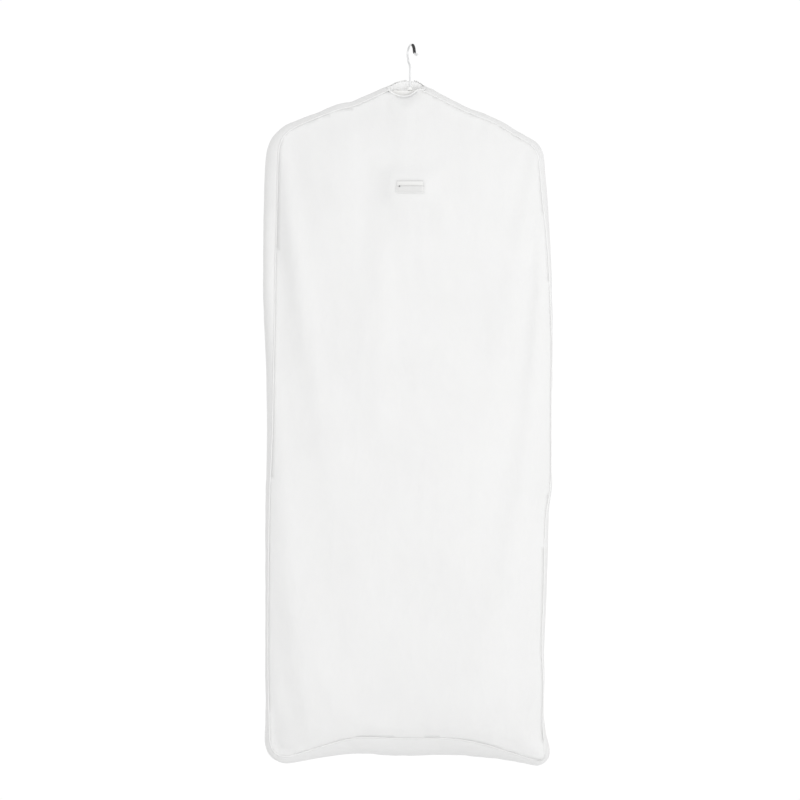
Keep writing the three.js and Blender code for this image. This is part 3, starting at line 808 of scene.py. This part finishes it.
def card_material_painted_shadow(shadow_line_z, half_shadow_line):
    """Plain card with no writing, and a thin dark line painted along its top: painted shadow of the card's
    top edge.
    """
    look = Look("card_paper", (0.80, 0.80, 0.79), 0.8)
    fibre = look.noise(900, 3.0)
    # A thin band just under the card's top edge is painted dark: painted shadow of that edge.
    off_shadow_line = look.math("ABSOLUTE", look.math("SUBTRACT", look.axes(uv=False)[2], shadow_line_z))
    plain = look.math("GREATER_THAN", off_shadow_line, half_shadow_line)
    look.tint(look.total((fibre, 0.1), (plain, 0.9)), (0.55, 0.55, 0.55), (0.79, 0.79, 0.78), 0.0, 1.0)
    look.bump(fibre, 0.00008, 0.5)
    look.vary_roughness(fibre, 0.74, 0.86)
    return look.material


bag_cloth = woven("bag_cloth", (0.800, 0.800, 0.797), (0.830, 0.830, 0.827), 0.0007, 0.78)
# Lighter than the bag's cloth: painted light that offsets the shade inside the neck, where the facing hangs.
lightened_facing_cloth = woven("lightened_facing_cloth", (0.93, 0.93, 0.927), (0.95, 0.95, 0.947), 0.0007, 0.78, 0.3)
# Lighter than the bag's cloth: painted light that offsets the shade along the seams' piping and adds a
# painted highlight on the neck binding.
lightened_piping_cloth = woven("lightened_piping_cloth", (0.895, 0.895, 0.89), (0.92, 0.92, 0.915), 0.0005, 0.72, 0.3)
tape_cloth = woven("zip_tape_cloth", (0.72, 0.72, 0.71), (0.77, 0.77, 0.76), 0.0009, 0.8, 0.2)
thread = plain("sewing_thread", (0.82, 0.82, 0.81), (0.88, 0.88, 0.87), 0.55, 0.0001, 2500,
               sheen_weight=0.2)
coil_plastic = plain("coil_plastic", (0.74, 0.74, 0.72), (0.80, 0.80, 0.78), 0.38, 0.00005, 900)
bright_metal = plain("nickel_plate", (0.70, 0.71, 0.73), (0.84, 0.85, 0.87), 0.22, 0.00003, 700, metallic=1.0)
wire_metal = plain("wire_metal", (0.74, 0.745, 0.75), (0.86, 0.86, 0.865), 0.34, 0.00004, 500, metallic=1.0)
collar_paint = plain("collar_paint", (0.88, 0.88, 0.87), (0.93, 0.93, 0.92), 0.30, 0.00004, 500)
sleeve_vinyl = plain("sleeve_vinyl", (0.010, 0.010, 0.011), (0.022, 0.022, 0.024), 0.42, 0.00006, 800)
hanger_plastic = plain("hanger_plastic", (0.86, 0.855, 0.84), (0.91, 0.905, 0.89), 0.34, 0.00006, 400)
pocket_vinyl = plain("pocket_vinyl", (0.68, 0.68, 0.675), (0.73, 0.73, 0.725), 0.26, 0.00012, 160,
                     coat_weight=0.2, coat_roughness=0.15)
hem_vinyl = plain("hem_vinyl", (0.77, 0.77, 0.765), (0.81, 0.81, 0.805), 0.32, 0.00008, 300)
# Darker than the pocket's other vinyl: painted shade along the pocket's open mouth.
mouth_shade_vinyl = plain("mouth_shade_vinyl", (0.58, 0.58, 0.575), (0.64, 0.64, 0.635), 0.32, 0.00008, 300)
stud_metal = plain("stud_metal", (0.16, 0.16, 0.165), (0.24, 0.24, 0.245), 0.38, 0.00003, 600, metallic=0.6)
card_paper = card_material_painted_shadow(card_hi.z - 0.0011, 0.0006)

# ---- the cloth hangs and is cut into panels

MOST_MOVED = 0.016  # how far the simulation may carry a point
MOST_MOVED_LOW = 0.007  # and near the bottom

shell = Shell()
rims = shell.rims
bag = shell.made("bag_shell")
start = np.array(shell.points)
simulate(bag, np.array(shell.pins), HANG_FRAMES)
moved = read(bag.data.vertices, "co") - start
reach = np.linalg.norm(moved, axis=1)
most = MOST_MOVED - (MOST_MOVED - MOST_MOVED_LOW) * ramp(start[:, 2], -1.36, -1.46)
hung = start + moved * (most * np.tanh(reach / most) / np.maximum(reach, 1e-9))[:, None]
face_list = [tuple(p.vertices) for p in bag.data.polygons]
face_panel = [p.material_index for p in bag.data.polygons]
bpy.data.objects.remove(bag)


def label_weight(points):
    """1 on the flat patch behind the name card's pocket, fading out round it."""
    off_x = np.maximum(np.abs(points[:, 0]) - LABEL_X, 0)
    off_z = np.maximum(np.maximum(points[:, 2] - LABEL_TOP, LABEL_BOTTOM - points[:, 2]), 0)
    return ramp(np.hypot(off_x, off_z), 0.035, 0) * (points[:, 1] < 0)


hung[:, 1] += (FRONT_Y - hung[:, 1]) * label_weight(hung)
trees = {}  # each panel's surface, for the pieces that lie on it
LONG_FOLD, CRUMPLE, PUCKER = 0.0010, 0.0012, 0.0011  # heights of the small folds


def crease(points, gap):
    """Height of the small folds at points on the cloth, the given distances from their panel's edge."""
    lift = np.zeros(len(points))
    for i, (x, y, z) in enumerate(points):
        long_fold = 0.5 - abs(noise.noise(Vector((x * 26, y * 26, z * 4.5))))
        crumple = 0.35 - abs(noise.noise(Vector((x * 30 + 7, y * 30, z * 17))))
        pucker = noise.noise(Vector((x * 42, y * 42 + 3, z * 42)))
        lift[i] = LONG_FOLD * long_fold + CRUMPLE * crumple + PUCKER * pucker * math.exp(-gap[i] / 0.03)
    return lift * ramp(gap, 0, 0.012) * (1 - label_weight(points))


def cloth_panel(name, panel, *stands_for):
    """One sewn panel: cut out of the hung shell, refined, creased and given its thickness."""
    index = Shell.PANELS.index(panel)
    faces = [face for face, number in zip(face_list, face_panel) if number == index]
    used = sorted({i for face in faces for i in face})
    lookup = {v: k for k, v in enumerate(used)}
    flat = [shell.strip[v] if panel == "gusset" else (start[v][0], start[v][2]) for v in used]
    obj = mesh_object(name, hung[used], [[lookup[v] for v in face] for face in faces], flat)
    fine = obj.modifiers.new("fine", "SUBSURF")
    fine.levels = fine.render_levels = 1
    fine.boundary_smooth = "PRESERVE_CORNERS"
    mesh = settled(obj).data
    points = read(mesh.vertices, "co")
    normals = read(mesh.vertex_normals, "vector")
    work = bmesh.new()
    work.from_mesh(mesh)
    rim = points[[vertex.is_boundary for vertex in work.verts]]
    area = sum(face.calc_area() for face in work.faces)
    work.free()
    blocks = np.array_split(points, max(1, len(points) // 3000))
    gap = np.concatenate([nearest(block, rim)[0] for block in blocks])
    points += normals * crease(points, gap)[:, None]
    mesh.vertices.foreach_set("co", points.ravel())
    mesh.update()
    faces = [tuple(face.vertices) for face in mesh.polygons]
    trees[panel] = BVHTree.FromPolygons([tuple(p) for p in points], faces)
    thickened(obj, CLOTH_THICKNESS, -1)
    return finish(obj, bag_cloth, "bag_fabric", *stands_for), area


sheets = {}  # each panel's object and the area of its cloth
for panel in Shell.PANELS[:3]:
    sheets[panel] = cloth_panel(panel.replace("_panel", "_panel_cloth"), panel, panel)
sheets["gusset"] = cloth_panel(
    "gusset_cloth", "gusset", "shoulder_gusset_left", "side_gusset_left", "bottom_gusset",
    "side_gusset_right", "shoulder_gusset_right")


# ---- pipings, stitches and the neck

PIPING = 0.0020  # the cord's diameter
PIPING_TUCK = 0.0022  # the cord's ends are tucked this far under the neck binding
BINDING = (0.0030, 0.0022)
THREAD = 0.0005
SEAM_STITCH_PITCH = 0.0036
FROM_SEAM = 0.0052  # the stitches' distance from the piping
FROM_ZIP = 0.0028  # and from the back panels' edges


def piping(label, side):
    line = softened(hung[rims[f"{label}_seam"]])
    line = line + 0.0001 * xyz(shell.out[:, 0], side, shell.out[:, 1])
    for end, beside in ((0, 1), (-1, -2)):
        line[end] += unit(line[end] - line[beside]) * PIPING_TUCK
    cord = sweep(f"{label}_piping_cord", refine(line, 0.006), PIPING, sides=10)
    finish(cord, lightened_piping_cloth, "piping", f"{label}_piping")


def seam_stitches(name, panel, line, side):
    """A row of stitches on a panel's cloth along a line beside its edge."""
    row = refine(line, SEAM_STITCH_PITCH)
    tangents = np.gradient(row, axis=0)[2:-2]
    centres, normals = [], []
    for point in row[2:-2]:
        place, normal, *_ = trees[panel].find_nearest(Vector(point))
        normal = np.array(normal if normal.y * side > 0 else -normal)
        centres.append(np.array(place) + normal * 0.00008)
        normals.append(normal)
    stitches = beads(name, centres, tangents, normals, SEAM_STITCH_PITCH * 0.74, THREAD, 0.0003)
    finish(stitches, thread, "piping")


piping("front", -1)
piping("back", 1)
inside = -FROM_SEAM * xyz(shell.out[:, 0], 0, shell.out[:, 1])
seam_stitches("front_seam_stitches", "front_panel", hung[rims["front_seam"]] + inside, -1)
back_row = hung[rims["back_seam"]] + inside
for (tag, side), rows in zip(SIDES, (slice(0, shell.zip_row + 1), slice(shell.zip_row + 1, None))):
    seam_stitches(f"back_seam_stitches_{tag}", f"back_panel_{tag}", back_row[rows], 1)
    beside_zip = hung[rims[f"zip_{tag}"]] + (side * FROM_ZIP, 0, 0)
    seam_stitches(f"zip_edge_stitches_{tag}", f"back_panel_{tag}", beside_zip, 1)

end_left, end_right = hung[rims["neck_end_left"]], hung[rims["neck_end_right"]]
back_left, back_right = hung[rims["back_neck_left"]], hung[rims["back_neck_right"]]
corner_left, corner_right = hung[rims["zip_left"][:1]], hung[rims["zip_right"][:1]]


def neck_binding():
    line = np.vstack([corner_right, back_right[::-1], end_right[::-1], hung[rims["front_neck"]], end_left,
                      back_left[::-1], corner_left])
    band = sweep("neck_binding_band", refine(softened(line, 1), 0.003), *BINDING, sides=10)
    finish(band, lightened_piping_cloth, "piping", "neck_binding")


FACING_DEPTH = 0.044
FACING_STEP = 0.0025
FACING_ROWS = 15
FACING_FRONT_Y = -0.021  # it ends here, short of the front panel


def neck_facing():
    """The facing that hangs inside the back of the neck, and the area of its cloth."""
    rim = np.vstack([end_right[end_right[:, 1] > FACING_FRONT_Y], back_right, corner_right,
                     corner_left, back_left, end_left[end_left[:, 1] > FACING_FRONT_Y][::-1]])
    rim = refine(softened(rim), FACING_STEP)
    wide = len(rim)
    inwards = unit(np.array(((NECK_LEFT + NECK_RIGHT) / 2, 0.0)) - rim[:, :2])
    columns = np.arange(wide)
    short = np.where(columns < wide / 2, 0.08, 0.20)  # at its two ends it is short, over the hanger
    drop = FACING_DEPTH * (short + (1 - short) * ramp(np.minimum(columns, wide - 1 - columns), 10, 18))
    points, flat = [], []
    for r in range(FACING_ROWS):
        share = r / (FACING_ROWS - 1)
        for c, (x, y, z) in enumerate(rim):
            down = drop[c] * share + 0.0008
            wave = 0.0009 * math.sin(c * 0.42) * share + 0.0004 * noise.noise(Vector((c * 0.2, r * 0.3, 2)))
            off_x, off_y = inwards[c] * (0.0016 + 0.0018 * ramp(share, 0, 0.25) + 0.0008 * share + wave)
            points.append((x + off_x, y + off_y, z - down))
            flat.append((c * FACING_STEP, down))
    facing = mesh_object("neck_facing_cloth", points, grid_faces(FACING_ROWS, wide), flat)
    # The facing's lighter cloth is painted light against the neck's shade.
    finish(thickened(facing, CLOTH_THICKNESS), lightened_facing_cloth, "bag_fabric")
    return facing, (wide - 1) * FACING_STEP, sum(drop) * FACING_STEP


neck_binding()
facing, facing_length, facing_area = neck_facing()

# ---- zip

TOOTH_PITCH = 0.0022
TOOTH = (0.0033, 0.00125, 0.0020)  # length, width and height
TAPE_ROWS = 220
TAPE_COLUMNS = (0.0028, 0.0038, 0.0055, 0.0085, 0.011, 0.014, 0.017)
TAPE_THICKNESS = 0.0006
OVER_LEAN = ZIP_TOP_DEPTH + 0.0014  # the tapes' least depth
foot = hung[rims["back_seam"][shell.zip_row]]  # where the tapes are sewn into the bottom seam


def cloth_depth(tag, x, z):
    hit = trees[f"back_panel_{tag}"].ray_cast(Vector((x, 0.2, z)), Vector((0, -1, 0)))[0]
    return 1.0 if hit is None else hit.y


def tape_depth(tag, side, x, z):
    """The tape runs behind the teeth, and under the back panel from that panel's edge outwards."""
    free = zip_lean(z, TAPE_Y) - 0.0002
    if x < 0.008:
        behind_teeth = 0.0009 * ramp(x, 0.0040, 0.0028) * ramp(z, coil_hi.z, coil_hi.z - 0.006)
        depth = max(free, OVER_LEAN) - behind_teeth
    else:
        covered = min(cloth_depth(tag, side * (x + off), z) for off in (0, 0.002, 0.004))
        depth = min(free, max(covered - 0.0011, OVER_LEAN))
    return depth + (min(depth, foot[1]) - depth) * ramp(z, foot[2] + 0.010, foot[2])


def zip_tape(tag, side):
    rows = np.linspace(foot[2] + 0.0003, ZIP_TOP_Z - 0.010, TAPE_ROWS)
    points = []
    for z in rows:
        parted = 0.0005 + 0.0025 * ramp(z, coil_hi.z - 0.002, coil_hi.z + 0.006)
        inner_edge = 0.0001 if z < coil_lo.z else parted
        for x in (inner_edge, *TAPE_COLUMNS):
            x = max(x, inner_edge)
            ripple = 0.00012 * noise.noise(Vector((x * 300, 0, z * 60)))
            points.append((side * x, tape_depth(tag, side, x, z) + ripple, z))
    faces = grid_faces(TAPE_ROWS, len(TAPE_COLUMNS) + 1)
    tape = mesh_object(f"zip_tape_cloth_{tag}", points, faces, [(x, z) for x, _, z in points])
    finish(thickened(tape, TAPE_THICKNESS), tape_cloth, "zip_tape", f"zip_tape_{tag}")


def zip_teeth(tag, side):
    """One side's teeth, half a pitch off the other side's."""
    count = int((coil_hi.z - coil_lo.z) / TOOTH_PITCH)
    z = coil_lo.z + (np.arange(count) + (0.25 if side < 0 else 0.75)) * TOOTH_PITCH
    centres = xyz(side * 0.00125, (coil_lo.y + coil_hi.y) / 2, z)
    teeth = beads(f"zip_coil_teeth_{tag}", centres, (-side, 0, 0.12 * side), (0, 1, 0), *TOOTH, swell=1.25)
    finish(teeth, coil_plastic, "zip_coil", f"zip_coil_{tag}")


def tape_stitches(tag, side):
    z = np.arange(coil_lo.z, coil_hi.z, 0.0026)
    centres = xyz(side * 0.0046, TAPE_Y + 0.0002, z)
    sewn = beads(f"zip_tape_stitches_{tag}", centres, (0, 0, 1), (0, 1, 0), 0.0019, THREAD, 0.0004)
    finish(sewn, thread, "zip_tape")


def zip_stop(node, radius, bevel):
    low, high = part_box(node)
    outline = rounded(rectangle(low.x, low.z, high.x, high.z), 4, radius)
    stop = plate(f"{node}_crimp", [outline], low.y, high.y, bevel)
    finish(stop, bright_metal, "zip_metal", node)


def zip_slider():
    """Two plates and the divider between them, with a crown for the pull to hang on."""
    mid, half = (slider_lo.z + slider_hi.z) / 2, (slider_hi.z - slider_lo.z) / 2
    outer_lo, outer_hi = 0.0502, 0.0514
    shield = rounded(mirrored(
        [(0.0034, mid - half, 0.0014), (0.0046, mid + half * 0.35, 0.002), (0.0046, mid + half, 0.0018),
         (0.0012, mid + half, 0.0005)], (0, mid + half - 0.0012, 0.0005)), 5)
    divider = rounded(rectangle(-0.00045, mid + 0.001, 0.00045, mid + half - 0.0016), 3, 0.0003)
    climb = [(0.0508, 0.0040), (0.0525, 0.0041), (0.0539, 0.0036), (0.0545, 0.0024)]
    arch = [(0, y, mid - off) for y, off in climb] + [(0, y, mid + off) for y, off in reversed(climb)]
    arch = refine(softened(refine(np.array(arch), 0.0006), 3), 0.0005)
    body = joined(
        "zip_slider_body",
        plate("outer_plate", [shield], outer_lo, outer_hi, 0.0003),
        plate("inner_plate", [shield], slider_lo.y, slider_lo.y + 0.0012, 0.0003),
        plate("divider", [divider], slider_lo.y + 0.0007, outer_lo + 0.0005),
        sweep("crown", arch, 0.0018, 0.0011, up=(1.0, 0, 0)))
    finish(body, bright_metal, "zip_metal", "zip_slider", body="zip_slider")


def zip_pull():
    """A waisted tab with a slot for the crown at its top and a hole near its lower end."""
    top = pull_hi.z
    tab = rounded(mirrored([(0.0040, top - 0.030, 0.003), (0.0038, top - 0.012, 0.006),
                            (0.0027, top - 0.006, 0.004), (0.0030, top, 0.0011)]), 5)
    slot = rounded(mirrored([(0.0016, top - 0.0082), (0.0015, top - 0.0013)]), 4, 0.0009)
    hole = rounded(rectangle(-0.0017, top - 0.0265, 0.0017, top - 0.0180), 5, 0.0015)
    pull = plate("zip_pull_tab", [tab, slot, hole], pull_lo.y, pull_hi.y, 0.0003)
    finish(pull, bright_metal, "zip_metal", "zip_pull", body="zip_pull")


for tag, side in SIDES:
    zip_tape(tag, side)
    zip_teeth(tag, side)
    tape_stitches(tag, side)
    zip_stop(f"zip_top_stop_{tag}", 0.0007, 0.00035)
zip_stop("zip_bottom_stop", 0.0009, 0.0004)
zip_slider()
zip_pull()

# ---- name card and pocket

MOUTH_Z = pocket_hi.z
WINDOW_ROWS, WINDOW_COLUMNS = 13, 37
BACKING = 0.0006  # thickness of the pocket's backing
BORDER = 0.0008  # the border's middle lies this far inside the pocket's edge


def name_card():
    outline = rounded(rectangle(card_lo.x, card_lo.z, card_hi.x, card_hi.z), 5, 0.0015)
    card = plate("name_card_sheet", [outline], card_lo.y, card_hi.y, 0.0001, 1)
    finish(card, card_paper, "card_paper", "label_card", body="label_card")


def pocket_window():
    """The pocket's clear front: it stands off its edges, and gapes a little at the mouth."""
    edge = 0.0012
    points = []
    for v in np.linspace(0, 1, WINDOW_ROWS):
        for u in np.linspace(0, 1, WINDOW_COLUMNS):
            x = pocket_lo.x + edge + (pocket_hi.x - pocket_lo.x - 2 * edge) * u
            z = pocket_lo.z + edge + (MOUTH_Z - pocket_lo.z - edge) * v
            rise = ramp(min(u, 1 - u), 0, 1 / 14) * ramp(v, 0, 1 / 4.5)
            gape = 0.0004 * ramp(v, 0.5, 1) * math.sin(math.pi * u)
            gape += 0.0003 * noise.noise(Vector((u * 5, v * 2, 1)))
            points.append((x, pocket_hi.y - BACKING - (0.0019 + gape) * rise, z))
    return points


def pocket():
    """The pocket, and its mouth's row of points."""
    low, high = pocket_lo, pocket_hi
    outline = rounded([(low.x, low.z, 0.0025), (high.x, low.z, 0.0025), (high.x, MOUTH_Z, 0.0006),
                       (low.x, MOUTH_Z, 0.0006)], 5)
    backing = plate("backing", [outline], high.y - BACKING, high.y, 0.00015)
    points = pocket_window()
    window = thickened(mesh_object("window", points, grid_faces(WINDOW_ROWS, WINDOW_COLUMNS)), 0.0004)
    whole = joined("label_pocket_vinyl", backing, window)
    finish(whole, pocket_vinyl, "pocket_vinyl", "label_pocket")
    return np.array(points[-WINDOW_COLUMNS:])


def pocket_border():
    """The welded border along the pocket's sides and bottom, with its stitches."""
    left, right, bottom = pocket_lo.x + BORDER, pocket_hi.x - BORDER, pocket_lo.z + BORDER
    cut = 0.0014
    row = [(left, MOUTH_Z), (left, bottom + cut), (left + cut, bottom), (right - cut, bottom),
           (right, bottom + cut), (right, MOUTH_Z)]
    line = refine(np.array([(x, pocket_hi.y - 0.0008, z) for x, z in row]), 0.0012)
    border = sweep("label_pocket_border", line, 0.0008, 0.0018, sides=8)
    finish(border, hem_vinyl, "pocket_vinyl")
    places = refine(line + (0, -0.0006, 0), 0.0024)
    along = np.gradient(places, axis=0)
    sewn = beads("label_pocket_stitches", places, along, (0, -1, 0), 0.0016, THREAD, THREAD)
    finish(sewn, thread, "pocket_vinyl")


def pocket_stud(y):
    """A press stud at the mouth's left end, its base at the given depth."""
    x, z = pocket_lo.x + 0.0075, MOUTH_Z - 0.0006
    profile = [(0.0003, 0.0), (0.0016, 0.0), (0.0016, 0.0004), (0.0012, 0.0009), (0.0003, 0.0011)]
    sides, rings = 28, len(profile)
    points = [(x + r * math.cos(a), y - d, z + r * math.sin(a)) for a in around(sides) for r, d in profile]
    caps = [tuple(range(0, sides * rings, rings)), tuple(range(rings - 1, sides * rings, rings))[::-1]]
    stud = closed_object("label_pocket_stud", points, grid_faces(sides, rings, round_again=True) + caps)
    finish(stud, stud_metal, "zip_metal")


name_card()
mouth = pocket()
# The mouth's hem carries the darker vinyl: painted shade of the pocket's open mouth.
hem = sweep("label_pocket_mouth_hem", mouth + (0, -0.0001, 0), 0.0011, 0.0014, sides=8, up=(0, 1.0, 0))
finish(hem, mouth_shade_vinyl, "pocket_vinyl")
pocket_stud(mouth[5][1] - 0.0006)
pocket_border()

# ---- hanger

SHOULDER_SLOPE = math.tan(math.radians(25.4))
FLAT_TOP = 0.034  # half the length of the level stretch at its top
ARM_DEPTH = 0.022


def arm_top(x):
    return hanger_hi.z - max(0, x - FLAT_TOP) * SHOULDER_SLOPE


def hanger():
    """The contoured hanger with its trouser bar."""
    half = [
        (0.022, -0.119, 0.010), (0.060, arm_top(0.060) - ARM_DEPTH, 0.014),
        (0.190, arm_top(0.190) - ARM_DEPTH, 0.010), (0.190, hanger_lo.z, 0.004),
        (0.208, hanger_lo.z, 0.008), (0.216, arm_top(0.214) - 0.016, 0.016),
        (0.208, arm_top(0.208), 0.007), (FLAT_TOP, hanger_hi.z, 0.014),
    ]
    body = plate("hanger_body_moulded", [rounded(mirrored(half), 8)], hanger_lo.y, hanger_hi.y, 0.0030, 4)
    finish(body, hanger_plastic, "hanger_plastic", "hanger_body")
    line = [(x, 0, (bar_lo.z + bar_hi.z) / 2) for x in np.linspace(bar_lo.x + 0.003, bar_hi.x - 0.003, 60)]
    bar = sweep("hanger_bar_rod", line, bar_hi.z - bar_lo.z, sides=24)
    finish(bar, hanger_plastic, "hanger_plastic", "hanger_bar")


def collar():
    """The white collar where the hook enters the hanger."""
    profile = [(0.0026, 0, 0.0003), (0.007, 0, 0.0006), (0.007, 0.0016, 0.0007), (0.0048, 0.0042, 0.0015),
               (0.0041, 0.007, 0.0006), (0.0026, 0.007, 0.0003)]
    cup = lathe("hook_ferrule_cup", rounded([(r, COLLAR_Z + up, bend) for r, up, bend in profile], 4))
    finish(cup, collar_paint, "hook_metal", "hook_ferrule")


hanger()
collar()

# ---- hook

WIRE = 0.0022  # the wire's radius
ARCH = 0.018  # the arch's radius, and how far its middle lies beside the shank
ARCH_X = 0.005
HOOK_TURN = math.radians(-67)
SLEEVE = (0.798, 0.918)  # the sleeve's ends, as shares of the wire's length
SLEEVE_WIDTH = 0.0064


def hook_line():
    """The wire's middle line: shank, bow to the back, arch over the rail and flared free end."""
    arch_z = -math.sqrt((ARCH - WIRE) ** 2 - ARCH_X**2)
    rows = [(0, -0.1248), (0, -0.090), (0, -0.062), (0, -0.046), (-0.0025, -0.0385), (-0.0085, -0.0315)]
    for angle in np.radians(np.linspace(205, 5, 10)):
        rows.append((ARCH_X + ARCH * math.cos(angle), arch_z + ARCH * math.sin(angle)))
    rows += [(0.0265, -0.0205), (0.032, -0.0235), (0.0385, -0.023)]
    out, z = centripetal(rows).T
    return refine(xyz(out * math.cos(HOOK_TURN), out * math.sin(HOOK_TURN), z), 0.0012)


def hook():
    line = hook_line()
    beside = (-math.sin(HOOK_TURN), math.cos(HOOK_TURN), 0)
    wire = sweep("hook_wire_round", line, 2 * WIRE, sides=24, up=beside)
    finish(wire, wire_metal, "hook_metal", "hook_wire", body="hook")
    first, last = (int(share * (len(line) - 1)) for share in SLEEVE)
    width = np.full(last + 1 - first, SLEEVE_WIDTH)
    width[0] = width[-1] = SLEEVE_WIDTH - 0.0006
    sleeve = sweep("hook_sleeve_tube", line[first:last + 1], width, sides=24, up=beside, ends=False)
    finish(sleeve, sleeve_vinyl, "sleeve_vinyl", "hook_sleeve", body="hook")
    profile = [(0.0025, nut_lo.z, 0.0003), (0.005, nut_lo.z, 0.0007), (0.005, nut_hi.z, 0.0007),
               (0.0025, nut_hi.z, 0.0003)]
    nut = lathe("hook_nut_ring", rounded(profile, 3))
    finish(nut, wire_metal, "hook_metal", "hook_nut", body="hook")


hook()

# ---- each sheet's cloth area, capped at the size it was cut to; nothing keeps the result


def cut_sheet(obj, area, width, length):
    area = min(area, width * length)


cut_sheet(*sheets["front_panel"], 0.60, 1.43)
cut_sheet(*sheets["back_panel_left"], 0.30, 1.45)
cut_sheet(*sheets["back_panel_right"], 0.30, 1.45)
cut_sheet(*sheets["gusset"], 0.11, 3.95)
cut_sheet(facing, facing_area, facing_length, FACING_DEPTH)

# ---- stage, lights and camera

FLOOR_Z = -1.9
FLOOR_RADIUS = 1.3
WHITE = 1.02  # the backdrop that the camera sees, just over plain white
CAMERA_PLACE = (-0.02125, -4.0, -0.7512)
LENS = 84.7

scene = bpy.context.scene
scene.view_settings.view_transform = "Standard"


def studio():
    """Plain soft light from all round, a little stronger from the front, the back and the right."""
    scene.world = bpy.data.worlds.new("studio")
    scene.world.use_nodes = True
    sky = Nodes(scene.world.node_tree)
    background = sky.tree.nodes["Background"]
    background.inputs["Strength"].default_value = 1.0
    axes = sky.add("ShaderNodeSeparateXYZ")
    sky.put(sky.add("ShaderNodeTexCoord").outputs["Generated"], axes.inputs[0])
    front_light = sky.math("MULTIPLY", sky.math("ABSOLUTE", axes.outputs["Y"]), 0.36)
    side_light = sky.math("ADD", sky.math("MULTIPLY", axes.outputs["X"], 0.045), 0.785)
    backdrop = sky.add("ShaderNodeMix", data_type="FLOAT")
    sky.put(sky.math("ADD", front_light, side_light), backdrop.inputs["A"])
    sky.put(WHITE, backdrop.inputs["B"])
    sky.put(sky.add("ShaderNodeLightPath").outputs["Is Camera Ray"], backdrop.inputs["Factor"])
    sky.put(backdrop.outputs[0], background.inputs["Color"])


def floor():
    points = [(FLOOR_RADIUS * math.cos(a), FLOOR_RADIUS * math.sin(a), FLOOR_Z) for a in around(96)]
    disc = mesh_object("floor", points, [tuple(range(len(points)))])
    look = Look("floor_paint", (0.94, 0.94, 0.94), 0.9)
    look.tint(look.noise(3, 2.0), (0.93, 0.93, 0.93), (0.95, 0.95, 0.95))
    disc.data.materials.append(look.material)


def softbox(name, place, aim, size, energy):
    data = bpy.data.lights.new(name, "AREA")
    data.energy, data.size = energy, size
    lamp = link(bpy.data.objects.new(name, data))
    lamp.location = place
    lamp.rotation_euler = (Vector(aim) - Vector(place)).to_track_quat("-Z", "Y").to_euler()


def camera():
    data = bpy.data.cameras.new("camera")
    data.lens, data.sensor_width = LENS, 36
    scene.camera = link(bpy.data.objects.new("camera", data))
    scene.camera.location = CAMERA_PLACE
    scene.camera.rotation_euler = (math.pi / 2, 0, 0)


studio()
floor()
softbox("key", (1.4, -2.2, -0.60), (0.10, 0, -0.90), 1.1, 9.0)
camera()
